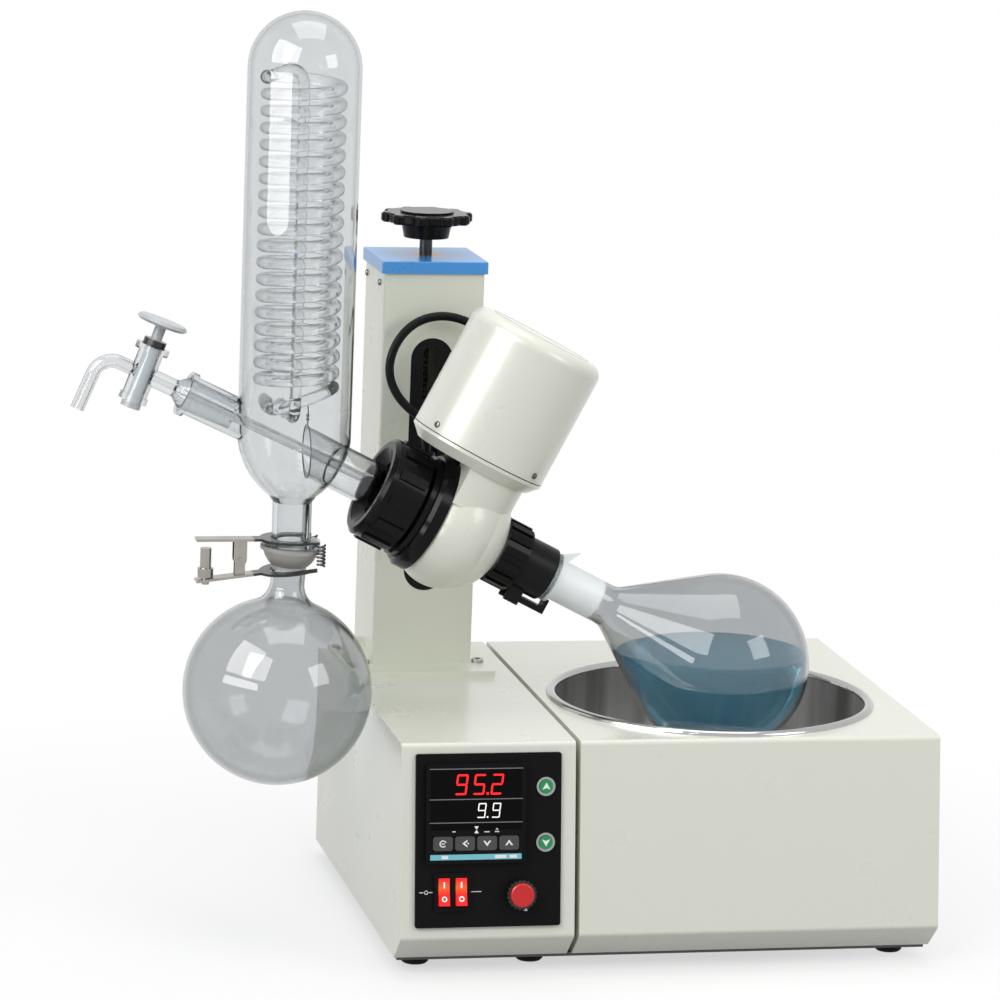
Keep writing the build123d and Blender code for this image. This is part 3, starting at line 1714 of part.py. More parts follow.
# Lower clamp jaw on the pivot pin
lower_ear = cheek_inner - cup_fit - cheek_thick
lower_ear_radius = cheek_radius - jaw_thick / 2
lower_plate_z = ball_z - lower_jaw_drop + clamp_pivot_x * tan(jaw_angle)
with BuildPart() as clamp_lower_jaw:
    with BuildSketch(lower_jaw_plane):
        jaw_outline()
    extrude(amount=jaw_thick)
    for side in (-1, 1):
        with BuildSketch(pivot_face.offset(side * lower_ear)):
            Circle(lower_ear_radius)
            Rectangle(
                2 * lower_ear_radius,
                clamp_pivot_z - lower_plate_z - jaw_thick / 2,
                align=(Align.CENTER, Align.MAX),
            )
            Circle(clamp_pin + run_fit, mode=Mode.SUBTRACT)
        extrude(amount=side * cheek_thick)
    with BuildSketch(Plane(origin=(cond_x + thumb_x, head_y, thumb_foot_z))):
        Circle(thumb_radius + run_fit)
    extrude(amount=thumb_length, mode=Mode.SUBTRACT)
write(clamp_lower_jaw.part, "clamp_lower_jaw")

# Thumbscrew with its grip nut
with BuildPart() as thumbscrew:
    with BuildSketch(Plane(origin=(cond_x + thumb_x, head_y, thumb_foot_z))):
        Circle(thumb_radius)
    extrude(amount=thumb_grip_z - thumb_foot_z)
    with BuildSketch(Plane(origin=(cond_x + thumb_x, head_y, thumb_grip_z))):
        Circle(thumb_grip)
    extrude(amount=thumb_grip_height)
    with BuildSketch(Plane(origin=(cond_x + thumb_x, head_y, thumb_grip_z))):
        Circle(thumb_post)
    extrude(amount=thumb_foot_z + thumb_length - thumb_grip_z)
write(thumbscrew.part, "thumbscrew")

# Cable glands on the motor cover and on the head arm
arm_gland_plane = Plane(origin=(arm_gland_x, arm_gland_y, arm_gland_foot))
with BuildPart() as cable_glands:
    with BuildSketch(gland_plane):
        Circle(gland_radius)
    extrude(amount=gland_root + gland_length)
    with BuildSketch(arm_gland_plane):
        Circle(gland_radius)
    extrude(amount=arm_gland_z - arm_gland_foot)
write(cable_glands.part, "cable_glands")

# Motor cable: a loose loop from gland to gland
gland_end = gland_plane.from_local_coords((0, 0, gland_root + gland_length))
route = [gland_end, gland_end + Vector(0, cable_lead, 0)]
route += [Vector(*point) for point in cable_between]
route.append(Vector(arm_gland_x, arm_gland_y, arm_gland_z))
runs = [after - before for before, after in zip(route, route[1:])]
bends = []
for before, after in zip(runs, runs[1:]):
    half_turn = radians(before.get_angle(after)) / 2
    bends.append(cable_bend_share * min(before.length, after.length) / tan(half_turn))
with BuildPart() as motor_cable:
    with BuildLine() as cable_path:
        FilletPolyline(*route, radius=bends)
    with BuildSketch(Plane(origin=route[0], z_dir=runs[0])):
        Circle(cable_radius)
    sweep(path=cable_path.wires()[0])
write(motor_cable.part, "motor_cable")
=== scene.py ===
from math import cos, pi, radians, sin, tan

import bmesh
import bpy
from mathutils import Matrix, Vector


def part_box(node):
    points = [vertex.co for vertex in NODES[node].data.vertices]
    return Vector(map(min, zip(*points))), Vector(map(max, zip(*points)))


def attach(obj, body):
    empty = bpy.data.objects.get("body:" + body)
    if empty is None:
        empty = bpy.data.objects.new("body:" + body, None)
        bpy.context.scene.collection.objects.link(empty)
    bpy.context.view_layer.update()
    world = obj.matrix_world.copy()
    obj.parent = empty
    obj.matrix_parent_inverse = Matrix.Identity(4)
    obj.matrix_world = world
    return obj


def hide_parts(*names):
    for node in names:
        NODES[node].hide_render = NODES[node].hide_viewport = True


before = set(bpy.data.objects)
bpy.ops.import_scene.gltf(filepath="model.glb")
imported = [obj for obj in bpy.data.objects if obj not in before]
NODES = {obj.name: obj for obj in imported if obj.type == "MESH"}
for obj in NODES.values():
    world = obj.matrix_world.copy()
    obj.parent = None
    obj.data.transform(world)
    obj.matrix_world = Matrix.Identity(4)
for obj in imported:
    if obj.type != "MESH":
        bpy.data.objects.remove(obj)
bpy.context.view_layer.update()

# Lengths below are in millimetres, in the frame of the solids
MM = 0.001

# Turning axis of the head, and the leaning front that carries the controls
HEAD = Vector((-38, -42.7, 333))
SHAFT_TILT = radians(27)
ALONG = Vector((cos(SHAFT_TILT), 0, -sin(SHAFT_TILT)))
UPWARD = Vector((sin(SHAFT_TILT), 0, cos(SHAFT_TILT)))
FRONT_LEAN = radians(8)
FRONT_TOE = Vector((0, -187.5, 33.5))
FRONT_UP = Vector((0, sin(FRONT_LEAN), cos(FRONT_LEAN)))
FRONT_OUT = Vector((0, -cos(FRONT_LEAN), sin(FRONT_LEAN)))

# Directions of the frame
ORIGIN = Vector((0, 0, 0))
UP = Vector((0, 0, 1))
LEFT, RIGHT, BACK = Vector((-1, 0, 0)), Vector((1, 0, 0)), Vector((0, 1, 0))

# Heights of faces out of the leaning front, and places of the controls along it
PANEL_FACE = 3
BUTTON_FACE = PANEL_FACE + 3.4
CASE_FACE = 8
KEY_FACE = 8.4
KNOB_SKIRT_FACE = 12.1
ROCKER_T = 37.2
HEATING_ROCKER_X, ROTARY_ROCKER_X = -59.8, -46.2
BUTTON_X, UP_BUTTON_T, DOWN_BUTTON_T = 20.3, 118.2, 74.8
CASE_X = -35.5

# Photograph's camera
CAMERA_PLACE = Vector((-766.12, -3491.55, 1023.62))
CAMERA_LENS = 163.16
CAMERA_YAW = radians(12.6)
CAMERA_PITCH = radians(10.77)
CAMERA_ROLL = radians(2.2)

# Motor cable, the same route as its solid
CABLE_ROUTE = [
    (22.01, 28.8, 461.79),
    (22.01, 51.8, 461.79),
    (6, 68, 474),
    (-20, 71, 483),
    (-46, 68, 478),
    (-64, 63, 460),
    (-70, 58, 436),
    (-60, 52, 414),
    (-38, 46, 398),
    (-38, 46, 374),
]
CABLE_RADIUS = 3.6


def srgb(*values):
    """Linear colour with full alpha from sRGB values of 0 to 255."""
    linear = []
    for value in values:
        share = value / 255
        linear.append(share / 12.92 if share <= 0.04045 else ((share + 0.055) / 1.055) ** 2.4)
    return (*linear, 1.0)


def on_front(x, t, height):
    """Point on the leaning front: x across, t up the face, height out of it."""
    return Vector((x, 0, 0)) + FRONT_TOE + FRONT_UP * t + FRONT_OUT * height


def on_shaft(s, n=0, y=0):
    """Point s along the turning axis from the head centre, n up and y back from it."""
    return HEAD + ALONG * s + UPWARD * n + Vector((0, y, 0))


# Materials
class Shader:
    """A node material under construction, read in the frame's own coordinates."""

    def __init__(self, name):
        self.material = bpy.data.materials.new(name)
        self.material.use_nodes = True
        self.tree = self.material.node_tree
        self.bsdf = self.tree.nodes["Principled BSDF"]
        self.output = self.tree.nodes["Material Output"]
        self.place = self.add("ShaderNodeTexCoord").outputs["Object"]

    def add(self, kind, **settings):
        node = self.tree.nodes.new(kind)
        for key, value in settings.items():
            setattr(node, key, value)
        return node

    def link(self, source, target):
        self.tree.links.new(source, target)

    def set(self, **sockets):
        for name, value in sockets.items():
            self.bsdf.inputs[name.replace("_", " ")].default_value = value
        return self

    def noise(self, scale, detail=3.0, stretch=None):
        """Noise factor over the object, stretched by three scales where given."""
        node = self.add("ShaderNodeTexNoise")
        node.inputs["Scale"].default_value = scale
        node.inputs["Detail"].default_value = detail
        place = self.place
        if stretch:
            mapping = self.add("ShaderNodeMapping")
            mapping.inputs["Scale"].default_value = stretch
            self.link(place, mapping.inputs["Vector"])
            place = mapping.outputs["Vector"]
        self.link(place, node.inputs["Vector"])
        return node.outputs["Fac"]

    def ramp(self, factor, low, high, start=0.0, end=1.0):
        """Number that runs from low to high as factor goes from start to end."""
        node = self.add("ShaderNodeMapRange")
        node.inputs["From Min"].default_value = start
        node.inputs["From Max"].default_value = end
        node.inputs["To Min"].default_value = low
        node.inputs["To Max"].default_value = high
        self.link(factor, node.inputs["Value"])
        return node.outputs["Result"]

    def blend(self, factor, first, second):
        """Colour between two, each a colour or a socket."""
        node = self.add("ShaderNodeMix", data_type="RGBA")
        self.link(factor, node.inputs["Factor"])
        for socket, value in ((node.inputs[6], first), (node.inputs[7], second)):
            if isinstance(value, tuple):
                socket.default_value = value
            else:
                self.link(value, socket)
        return node.outputs[2]

    def colour(self, socket):
        self.link(socket, self.bsdf.inputs["Base Color"])

    def roughness(self, socket):
        self.link(socket, self.bsdf.inputs["Roughness"])

    def bump(self, height, strength, distance=0.1):
        """Surface relief from a height factor, distance in millimetres."""
        node = self.add("ShaderNodeBump")
        node.inputs["Strength"].default_value = strength
        node.inputs["Distance"].default_value = distance * MM
        self.link(height, node.inputs["Height"])
        self.link(node.outputs["Normal"], self.bsdf.inputs["Normal"])

    def along_axis(self, origin, direction):
        """Distance in millimetres along a line, as a socket."""
        shift = self.add("ShaderNodeVectorMath", operation="SUBTRACT")
        shift.inputs[1].default_value = origin * MM
        self.link(self.place, shift.inputs[0])
        dot = self.add("ShaderNodeVectorMath", operation="DOT_PRODUCT")
        dot.inputs[1].default_value = direction / MM
        self.link(shift.outputs["Vector"], dot.inputs[0])
        return dot.outputs["Value"]

    def math(self, operation, first, second=None):
        """Sum, product or the like of sockets and numbers."""
        node = self.add("ShaderNodeMath", operation=operation)
        for socket, value in zip(node.inputs, (first, second)):
            if value is None:
                continue
            if isinstance(value, (int, float)):
                socket.default_value = value
            else:
                self.link(value, socket)
        return node.outputs["Value"]


def paint(name, colour, shade, rough=0.28):
    """Stoved gloss paint with faint orange peel and uneven tone."""
    shader = Shader(name).set(Coat_Weight=0.25, Coat_Roughness=0.12)
    shader.colour(shader.blend(shader.noise(30.0, 8.0), colour, shade))
    shader.roughness(shader.ramp(shader.noise(24.0, 6.0), rough - 0.02, rough + 0.02))
    shader.bump(shader.noise(240.0, 2.0), 0.01, 0.02)
    return shader.material


def moulding(name, colour, shade, rough=0.35, grain=900.0, relief=0.2, gloss=0.5):
    """Moulded plastic or rubber with a fine grain."""
    shader = Shader(name).set(Specular_IOR_Level=gloss)
    shader.colour(shader.blend(shader.noise(30.0), colour, shade))
    shader.roughness(shader.ramp(shader.noise(120.0), rough - 0.06, rough + 0.08))
    shader.bump(shader.noise(grain, 2.0), relief, 0.05)
    return shader.material


def metal(name, colour, shade, rough=0.25):
    """Metal with fine grinding marks."""
    shader = Shader(name).set(Metallic=1.0)
    grind = shader.noise(60.0, 4.0)
    shader.colour(shader.blend(grind, colour, shade))
    shader.roughness(shader.ramp(grind, rough - 0.07, rough + 0.1))
    shader.bump(grind, 0.12, 0.03)
    return shader.material


GROUND_WHITE = (0.93, 0.945, 0.95, 1.0)
GROUND_SILVER = (0.52, 0.5, 0.47, 1.0)
# Grey that darkens glass towards its edges: painted shade standing in for reflected dark surroundings
RIM_PAINTED_SHADE = (0.15, 0.17, 0.18, 1.0)
GLASS_SHADOW = (0.86, 0.88, 0.89, 1.0)
GLASS_DEPTH = (0.66, 0.71, 0.735, 1.0)
GLASS_IOR = 1.47
FROST_ROUGHNESS = 0.42
FROST_CLEARNESS = 0.35


def glass(name, tint, density, edge=0.55, frosted=None, ground=GROUND_WHITE):
    """Clear laboratory glass with painted dark edges that stand in for the reflection of dark
    surroundings, which darkens with its depth and is ground in a zone.
    """
    shader = Shader(name).set(Transmission_Weight=1.0, IOR=GLASS_IOR)
    clean = (0.985 * tint, 0.995 * tint, tint, 1.0)
    hazed = (0.97 * tint, 0.98 * tint, 0.985 * tint, 1.0)
    facing = shader.add("ShaderNodeLayerWeight").outputs["Facing"]
    # Painted shade on the rims, stronger where the surface turns away from the view
    rim = shader.ramp(facing, 0.0, 1.0, edge, 0.95)
    body = shader.blend(rim, shader.blend(shader.noise(6.0), clean, hazed), RIM_PAINTED_SHADE)
    smears = shader.ramp(shader.noise(14.0, 5.0), 0.0, 0.02, 0.45, 0.75)
    if frosted:
        zone = frosted(shader)
        body = shader.blend(zone, body, ground)
        smears = shader.math("MAXIMUM", smears, shader.math("MULTIPLY", zone, FROST_ROUGHNESS))
        shader.link(shader.ramp(zone, 1.0, FROST_CLEARNESS), shader.bsdf.inputs["Transmission Weight"])
        shader.bump(shader.math("MULTIPLY", shader.noise(1500.0, 2.0), zone), 0.5, 0.1)
    shader.colour(body)
    shader.roughness(smears)
    clear = shader.add("ShaderNodeBsdfTransparent")
    clear.inputs["Color"].default_value = GLASS_SHADOW
    light = shader.add("ShaderNodeLightPath")
    mix = shader.add("ShaderNodeMixShader")
    shader.link(light.outputs["Is Shadow Ray"], mix.inputs["Fac"])
    shader.link(shader.bsdf.outputs["BSDF"], mix.inputs[1])
    shader.link(clear.outputs["BSDF"], mix.inputs[2])
    shader.link(mix.outputs["Shader"], shader.output.inputs["Surface"])
    volume = shader.add("ShaderNodeVolumeAbsorption")
    volume.inputs["Color"].default_value = GLASS_DEPTH
    volume.inputs["Density"].default_value = density
    shader.link(volume.outputs["Volume"], shader.output.inputs["Volume"])
    return shader.material


def band(origin, direction, start, end, soft=1.5):
    """Factor of 1 between two distances along a line, for a frosted zone."""

    def factor(shader):
        place = shader.along_axis(origin, direction)
        rise = shader.ramp(place, 0.0, 1.0, start - soft, start + soft)
        fall = shader.ramp(place, 1.0, 0.0, end - soft, end + soft)
        return shader.math("MULTIPLY", rise, fall)

    return factor


cream = paint("cream_paint", srgb(225, 226, 214), srgb(224, 225, 213))
cream_column = paint("column_paint", srgb(226, 227, 211), srgb(225, 226, 210))
blue = paint("cap_blue_paint", srgb(62, 148, 220), srgb(58, 143, 215))
grey_base = paint("base_paint", srgb(70, 70, 68), srgb(58, 58, 56), 0.45)
black_gloss = moulding("black_gloss", srgb(17, 17, 18), srgb(11, 11, 12), 0.14, 300.0, 0.05, 0.11)
black_satin = moulding("black_satin", srgb(22, 22, 23), srgb(15, 15, 16), 0.32, 900.0, 0.2, 0.12)
black_panel = moulding("black_panel", srgb(20, 20, 21), srgb(16, 16, 17), 0.4, 700.0, 0.12, 0.06)
black_rubber = moulding("black_rubber", srgb(20, 20, 20), srgb(13, 13, 13), 0.62, 500.0, 0.4, 0.15)
black_window = moulding("black_window", srgb(8, 7, 7), srgb(4, 4, 4), 0.12, 200.0, 0.02, 0.06)
key_grey = moulding("key_grey", srgb(62, 62, 64), srgb(52, 52, 54), 0.42)
green = moulding("button_green", srgb(18, 148, 84), srgb(12, 132, 72), 0.25, 300.0, 0.05)
white_seal = moulding("white_seal", srgb(232, 234, 234), srgb(220, 222, 222), 0.4)
steel = metal("ground_steel", srgb(190, 190, 188), srgb(160, 160, 158), 0.28)
turned_steel = metal("turned_steel", srgb(172, 172, 172), srgb(140, 140, 142), 0.34)
chrome = metal("chrome", srgb(168, 168, 168), srgb(146, 146, 148), 0.12)
bronze = metal("bronze", srgb(190, 150, 92), srgb(150, 112, 66), 0.32)
clamp_steel = metal("clamp_steel", srgb(172, 168, 162), srgb(142, 138, 132), 0.2)
screw_steel = metal("screw_steel", srgb(112, 112, 112), srgb(84, 84, 84), 0.28)

BALL = Vector((-162.3, -42.7, 317))
VALVE = Vector((-282.84, -42.7, 452.54))
VALVE_UP = Vector((sin(radians(20)), 0, cos(radians(20))))
SCREW_PITCH = 5
CAP_TOP_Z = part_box("column_cap")[1][2] / MM
PAN_FLOOR_Z, PAN_RIM_Z = (corner[2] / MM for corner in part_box("bath_pan"))
clear_jacket = glass("jacket_glass", 0.86, 60.0)
clear_coil = glass("coil_glass", 0.98, 8.0, 0.3)
clear_feed = glass("feed_glass", 0.86, 20.0, 0.25)
clear_duct = glass("duct_glass", 0.95, 15.0, 0.55, band(HEAD, ALONG, 98, 140))
flask_glass = glass("flask_glass", 0.68, 80.0, 0.55, band(HEAD, ALONG, 97, 139))
receiver_glass = glass(
    "receiver_glass", 0.73, 80.0, 0.55, band(BALL, UP, -19, 2), GROUND_SILVER
)


def rocker_red():
    """Red translucent rocker with a warm lamp behind its upper half."""
    shader = Shader("rocker_red").set(Transmission_Weight=0.15, Roughness=0.2)
    height = shader.along_axis(on_front(0, ROCKER_T, 0), FRONT_UP)
    shader.colour(shader.blend(shader.noise(80.0), srgb(226, 20, 14), srgb(206, 12, 10)))
    rise = shader.ramp(height, 0.0, 1.0, -2.0, 4.0)
    fall = shader.ramp(height, 1.0, 0.0, 3.0, 10.0)
    warm = shader.blend(shader.math("MULTIPLY", rise, fall), srgb(226, 10, 6), srgb(255, 130, 40))
    shader.link(warm, shader.bsdf.inputs["Emission Color"])
    shader.bsdf.inputs["Emission Strength"].default_value = 0.5
    return shader.material


def lamp(name, colour, strength):
    """Lit segment with a slightly uneven glow; on a printed mark the glow is painted light."""
    shader = Shader(name).set(Emission_Strength=strength, Roughness=0.4)
    tone = shader.blend(shader.noise(300.0), colour, tuple(0.9 * value for value in colour[:3]) + (1.0,))
    shader.colour(tone)
    shader.link(tone, shader.bsdf.inputs["Emission Color"])
    return shader.material


def knob_two_tone():
    """Black fluted skirt under a red cap."""
    shader = Shader("knob_two_tone").set(Roughness=0.3)
    height = shader.along_axis(on_front(0, 0, 0), FRONT_OUT)
    cap = shader.ramp(height, 0.0, 1.0, KNOB_SKIRT_FACE + 0.05, KNOB_SKIRT_FACE + 0.2)
    skirt = shader.blend(shader.noise(60.0), srgb(24, 24, 25), srgb(16, 16, 17))
    top = shader.blend(shader.noise(60.0), srgb(214, 26, 28), srgb(200, 20, 23))
    shader.colour(shader.blend(cap, skirt, top))
    return shader.material


def stopcock_white():
    """Milky plastic handle and plug with a black seal ring between them."""
    shader = Shader("stopcock_white").set(Roughness=0.28)
    place = shader.along_axis(VALVE, VALVE_UP)
    rise = shader.ramp(place, 0.0, 1.0, 23.0, 23.1)
    fall = shader.ramp(place, 1.0, 0.0, 28.0, 28.2)
    milky = shader.blend(shader.noise(40.0), srgb(186, 190, 193), srgb(176, 180, 183))
    shader.colour(shader.blend(shader.math("MULTIPLY", rise, fall), milky, srgb(18, 18, 19)))
    shader.bump(shader.noise(300.0, 2.0), 0.1, 0.05)
    return shader.material


def pan_steel():
    """Steel bath with brushing inside, streak bands down its wall that are partly real brushing and
    partly painted reflection, and a polished rim.
    """
    shader = Shader("pan_steel").set(Metallic=1.0, Anisotropic=0.6)
    tangent = shader.add("ShaderNodeTangent", direction_type="RADIAL", axis="Z")
    shader.link(tangent.outputs["Tangent"], shader.bsdf.inputs["Tangent"])
    height = shader.along_axis(ORIGIN, UP)
    rim = shader.ramp(height, 0.0, 1.0, PAN_RIM_Z - 5, PAN_RIM_Z - 3)
    wall = shader.ramp(height, 0.15, 1.0, PAN_FLOOR_Z + 3, PAN_FLOOR_Z + 12)
    # Vertical streak bands in the colour: partly brushing, partly painted reflection of the bright and
    # dark bands the shine would show
    lines = shader.ramp(shader.noise(34.0, 4.0, (1.0, 1.0, 0.04)), -0.5, 0.5, 0.35, 0.65)
    brush_and_reflection_streaks = shader.math("ADD", shader.math("MULTIPLY", lines, wall), 0.5)
    brush_and_reflection_tone = shader.blend(brush_and_reflection_streaks, srgb(178, 177, 175), srgb(240, 239, 237))
    shader.colour(shader.blend(rim, brush_and_reflection_tone, srgb(176, 176, 175)))
    brushing = shader.ramp(brush_and_reflection_streaks, 0.2, 0.36)
    polish = shader.math("MULTIPLY", shader.math("SUBTRACT", 1.0, rim), brushing)
    shader.roughness(shader.math("ADD", polish, 0.1))
    return shader.material


def threaded_steel():
    """Ground screw whose trapezoid threading is drawn by relief and by painted shade, darker towards the
    roots and lighter on the crests, with a plain stem above the cap.
    """
    shader = Shader("threaded_steel").set(Metallic=1.0)
    height = shader.along_axis(ORIGIN, UP)
    flank = shader.math("PINGPONG", shader.math("DIVIDE", height, SCREW_PITCH / 2), 1.0)
    stem = shader.ramp(height, 0.0, 1.0, CAP_TOP_Z - 3, CAP_TOP_Z - 2)
    # Painted shade: colour darker at the roots of the threading and lighter on its crests, in step with
    # the relief
    painted_thread_shade = shader.blend(flank, srgb(150, 150, 148), srgb(196, 196, 194))
    shader.colour(shader.blend(stem, painted_thread_shade, srgb(58, 58, 60)))
    shader.roughness(shader.ramp(shader.noise(90.0), 0.2, 0.34))
    relief = shader.math("MULTIPLY", shader.ramp(flank, 0.0, 1.0, 0.3, 0.7), shader.ramp(stem, 1.0, 0.0))
    shader.bump(relief, 0.9, 1.2)
    return shader.material


def jaw_two_tone():
    """Bright steel jaw with a dark coating on the fork."""
    shader = Shader("jaw_two_tone")
    place = shader.along_axis(BALL, RIGHT)
    coat = shader.ramp(place, 0.0, 1.0, -31.0, -29.5)
    grind = shader.noise(90.0, 4.0)
    bright = shader.blend(grind, srgb(174, 170, 163), srgb(144, 140, 134))
    dark = shader.blend(grind, srgb(52, 52, 53), srgb(36, 36, 37))
    shader.colour(shader.blend(coat, bright, dark))
    shader.link(shader.ramp(coat, 1.0, 0.35), shader.bsdf.inputs["Metallic"])
    shader.roughness(shader.ramp(grind, 0.18, 0.34))
    shader.bump(grind, 0.15, 0.04)
    return shader.material


jaw = jaw_two_tone()
NODE_MATERIALS = {
    cream: ["control_housing", "bath_housing", "gearbox_housing", "motor_cover", "motor_cap"],
    cream_column: ["column_tube", "column_base"],
    blue: ["column_cap"],
    grey_base: ["base_plate"],
    black_gloss: ["handwheel", "union_nut", "flange_ring", "spindle_nut"],
    black_satin: ["flask_clip", "clip_lever", "head_arm", "carriage_block", "cable_glands"],
    black_panel: ["control_panel", "power_inlet", "rocker_bezel", "display_case"],
    black_rubber: ["feet", "slot_seal"],
    black_window: ["display_window"],
    key_grey: ["display_key_1", "display_key_2", "display_key_3", "display_key_4"],
    green: ["up_button", "down_button"],
    rocker_red(): ["heating_rocker", "rotary_rocker"],
    knob_two_tone(): ["speed_knob"],
    white_seal: ["shaft_seal"],
    steel: ["guide_rods", "spindle", "spindle_bearings"],
    threaded_steel(): ["lead_screw"],
    turned_steel: ["motor_rotor", "motor_stator"],
    chrome: ["button_sockets"],
    pan_steel(): ["bath_pan"],
    metal("cast_aluminium", srgb(150, 150, 150), srgb(120, 120, 120), 0.4): ["heater_ring", "speed_pot"],
    bronze: ["lift_nut", "screw_bushes", "crown_gear"],
    jaw: ["clamp_upper_jaw", "clamp_lower_jaw"],
    clamp_steel: ["thumbscrew"],
    clear_jacket: ["condenser_jacket", "hose_nozzles"],
    clear_coil: ["cooling_coil"],
    clear_feed: ["feed_tube"],
    stopcock_white(): ["stopcock_plug"],
    clear_duct: ["vapour_duct"],
    flask_glass: ["evaporating_flask"],
    receiver_glass: ["receiver_flask"],
}
for material, names in NODE_MATERIALS.items():
    for name in names:
        slots = NODES[name].data.materials
        slots.clear()
        slots.append(material)


# Pieces
def piece(name, mesh_or_curve, material, body):
    """Link a new object that moves with a body."""
    obj = bpy.data.objects.new(name, mesh_or_curve)
    obj.data.materials.append(material)
    bpy.context.scene.collection.objects.link(obj)
    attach(obj, body)
    return obj


def mesh_from(bm, name):
    """Mesh with outward normals from a bmesh, which is freed."""
    mesh = bpy.data.meshes.new(name)
    bmesh.ops.recalc_face_normals(bm, faces=bm.faces)
    bm.to_mesh(mesh)
    bm.free()
    return mesh


def add_prism(bm, outline, thick, frame_of):
    """Closed prism over an outline of (x, y) points; frame_of places (x, y, z) in millimetres."""
    low = [bm.verts.new(frame_of(x, y, 0) * MM) for x, y in outline]
    top = [bm.verts.new(frame_of(x, y, thick) * MM) for x, y in outline]
    bm.faces.new(low)
    bm.faces.new(top)
    for i in range(len(outline)):
        j = (i + 1) % len(outline)
        bm.faces.new((low[i], low[j], top[j], top[i]))


PRINT_THICK = 0.15


def marks(name, outlines, face, material, body):
    """Flat printed marks on the leaning front, face millimetres out of it."""
    bm = bmesh.new()
    for outline in outlines:
        add_prism(bm, outline, PRINT_THICK, lambda x, t, z: on_front(x, t, face + z))
    return piece(name, mesh_from(bm, name), material, body)


def wire(name, points, radius, material, body, closed=False):
    """Round wire on one smooth line with the points as its control points."""
    curve = bpy.data.curves.new(name, "CURVE")
    curve.dimensions = "3D"
    curve.bevel_depth = radius * MM
    curve.bevel_resolution = 6
    curve.use_fill_caps = not closed
    spline = curve.splines.new("NURBS")
    spline.points.add(len(points) - 1)
    for point, place in zip(spline.points, points):
        point.co = (*(Vector(place) * MM), 1.0)
    spline.order_u = 3
    spline.use_endpoint_u = not closed
    spline.use_cyclic_u = closed
    spline.resolution_u = 16
    return piece(name, curve, material, body)


# Motor cable
def motor_cable():
    """Loose loop from the motor's gland to the arm's, drawn as a round wire in place of the hidden
    solid.
    """
    cable = wire("motor_cable_line", CABLE_ROUTE, CABLE_RADIUS, black_satin, "head")
    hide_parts("motor_cable")


motor_cable()

# Liquid in the flask, level while the flask turns
FLASK_CENTRE = 257
FLASK_CONE = radians(34)
LIQUID_RADIUS = 70.3
LIQUID_NECK = 13.9
LIQUID_LEVEL = 227
LIQUID_SEGMENTS = 96
LIQUID_TONES = ((0.34, 0.78, 0.96, 1.0), (0.3, 0.75, 0.94, 1.0))
LIQUID_DEPTH = (0.05, 0.62, 0.8, 1.0)


def liquid_profile():
    """(radius, distance along the shaft) points of the flask's inside from the neck to the tip."""
    meet = (LIQUID_RADIUS * cos(FLASK_CONE), FLASK_CENTRE - LIQUID_RADIUS * sin(FLASK_CONE))
    root = meet[1] - (meet[0] - LIQUID_NECK) / tan(FLASK_CONE)
    points = [(LIQUID_NECK, root + 3), meet]
    steps = 40
    for i in range(1, steps):
        angle = -FLASK_CONE + (pi / 2 + FLASK_CONE) * i / steps
        points.append((LIQUID_RADIUS * cos(angle), FLASK_CENTRE + LIQUID_RADIUS * sin(angle)))
    return points, FLASK_CENTRE + LIQUID_RADIUS


def liquid():
    """Lower part of the flask's inside, cut off at the liquid's level."""
    profile, tip_s = liquid_profile()
    bm = bmesh.new()
    rings = []
    for r, s in profile:
        ring = []
        for i in range(LIQUID_SEGMENTS):
            angle = 2 * pi * i / LIQUID_SEGMENTS
            ring.append(bm.verts.new(on_shaft(s, r * cos(angle), r * sin(angle)) * MM))
        rings.append(ring)
    tip = bm.verts.new(on_shaft(tip_s) * MM)
    bm.faces.new(rings[0])
    for low, high in zip(rings, rings[1:]):
        for i in range(LIQUID_SEGMENTS):
            j = (i + 1) % LIQUID_SEGMENTS
            bm.faces.new((low[i], low[j], high[j], high[i]))
    for i in range(LIQUID_SEGMENTS):
        bm.faces.new((rings[-1][i], rings[-1][(i + 1) % LIQUID_SEGMENTS], tip))
    cut = bmesh.ops.bisect_plane(
        bm,
        geom=bm.verts[:] + bm.edges[:] + bm.faces[:],
        plane_co=(0, 0, LIQUID_LEVEL * MM),
        plane_no=(0, 0, 1),
        clear_outer=True,
    )
    rim = [e for e in cut["geom_cut"] if isinstance(e, bmesh.types.BMEdge)]
    bmesh.ops.edgeloop_fill(bm, edges=rim)
    mesh = mesh_from(bm, "flask_liquid")
    for face in mesh.polygons:
        face.use_smooth = abs(face.normal.z) < 0.999
    shader = Shader("blue_liquid").set(Transmission_Weight=0.8, IOR=1.2)
    shader.colour(shader.blend(shader.noise(8.0), *LIQUID_TONES))
    shader.roughness(shader.ramp(shader.noise(20.0), 0.0, 0.02))
    volume = shader.add("ShaderNodeVolumeAbsorption")
    volume.inputs["Color"].default_value = LIQUID_DEPTH
    volume.inputs["Density"].default_value = 4.0
    shader.link(volume.outputs["Volume"], shader.output.inputs["Volume"])
    return piece("flask_liquid", mesh, shader.material, "head")


liquid()

# Display digits and marks
SEGMENTS = {
    "9": "abcdfg",
    "5": "acdfg",
    "2": "abdeg",
}


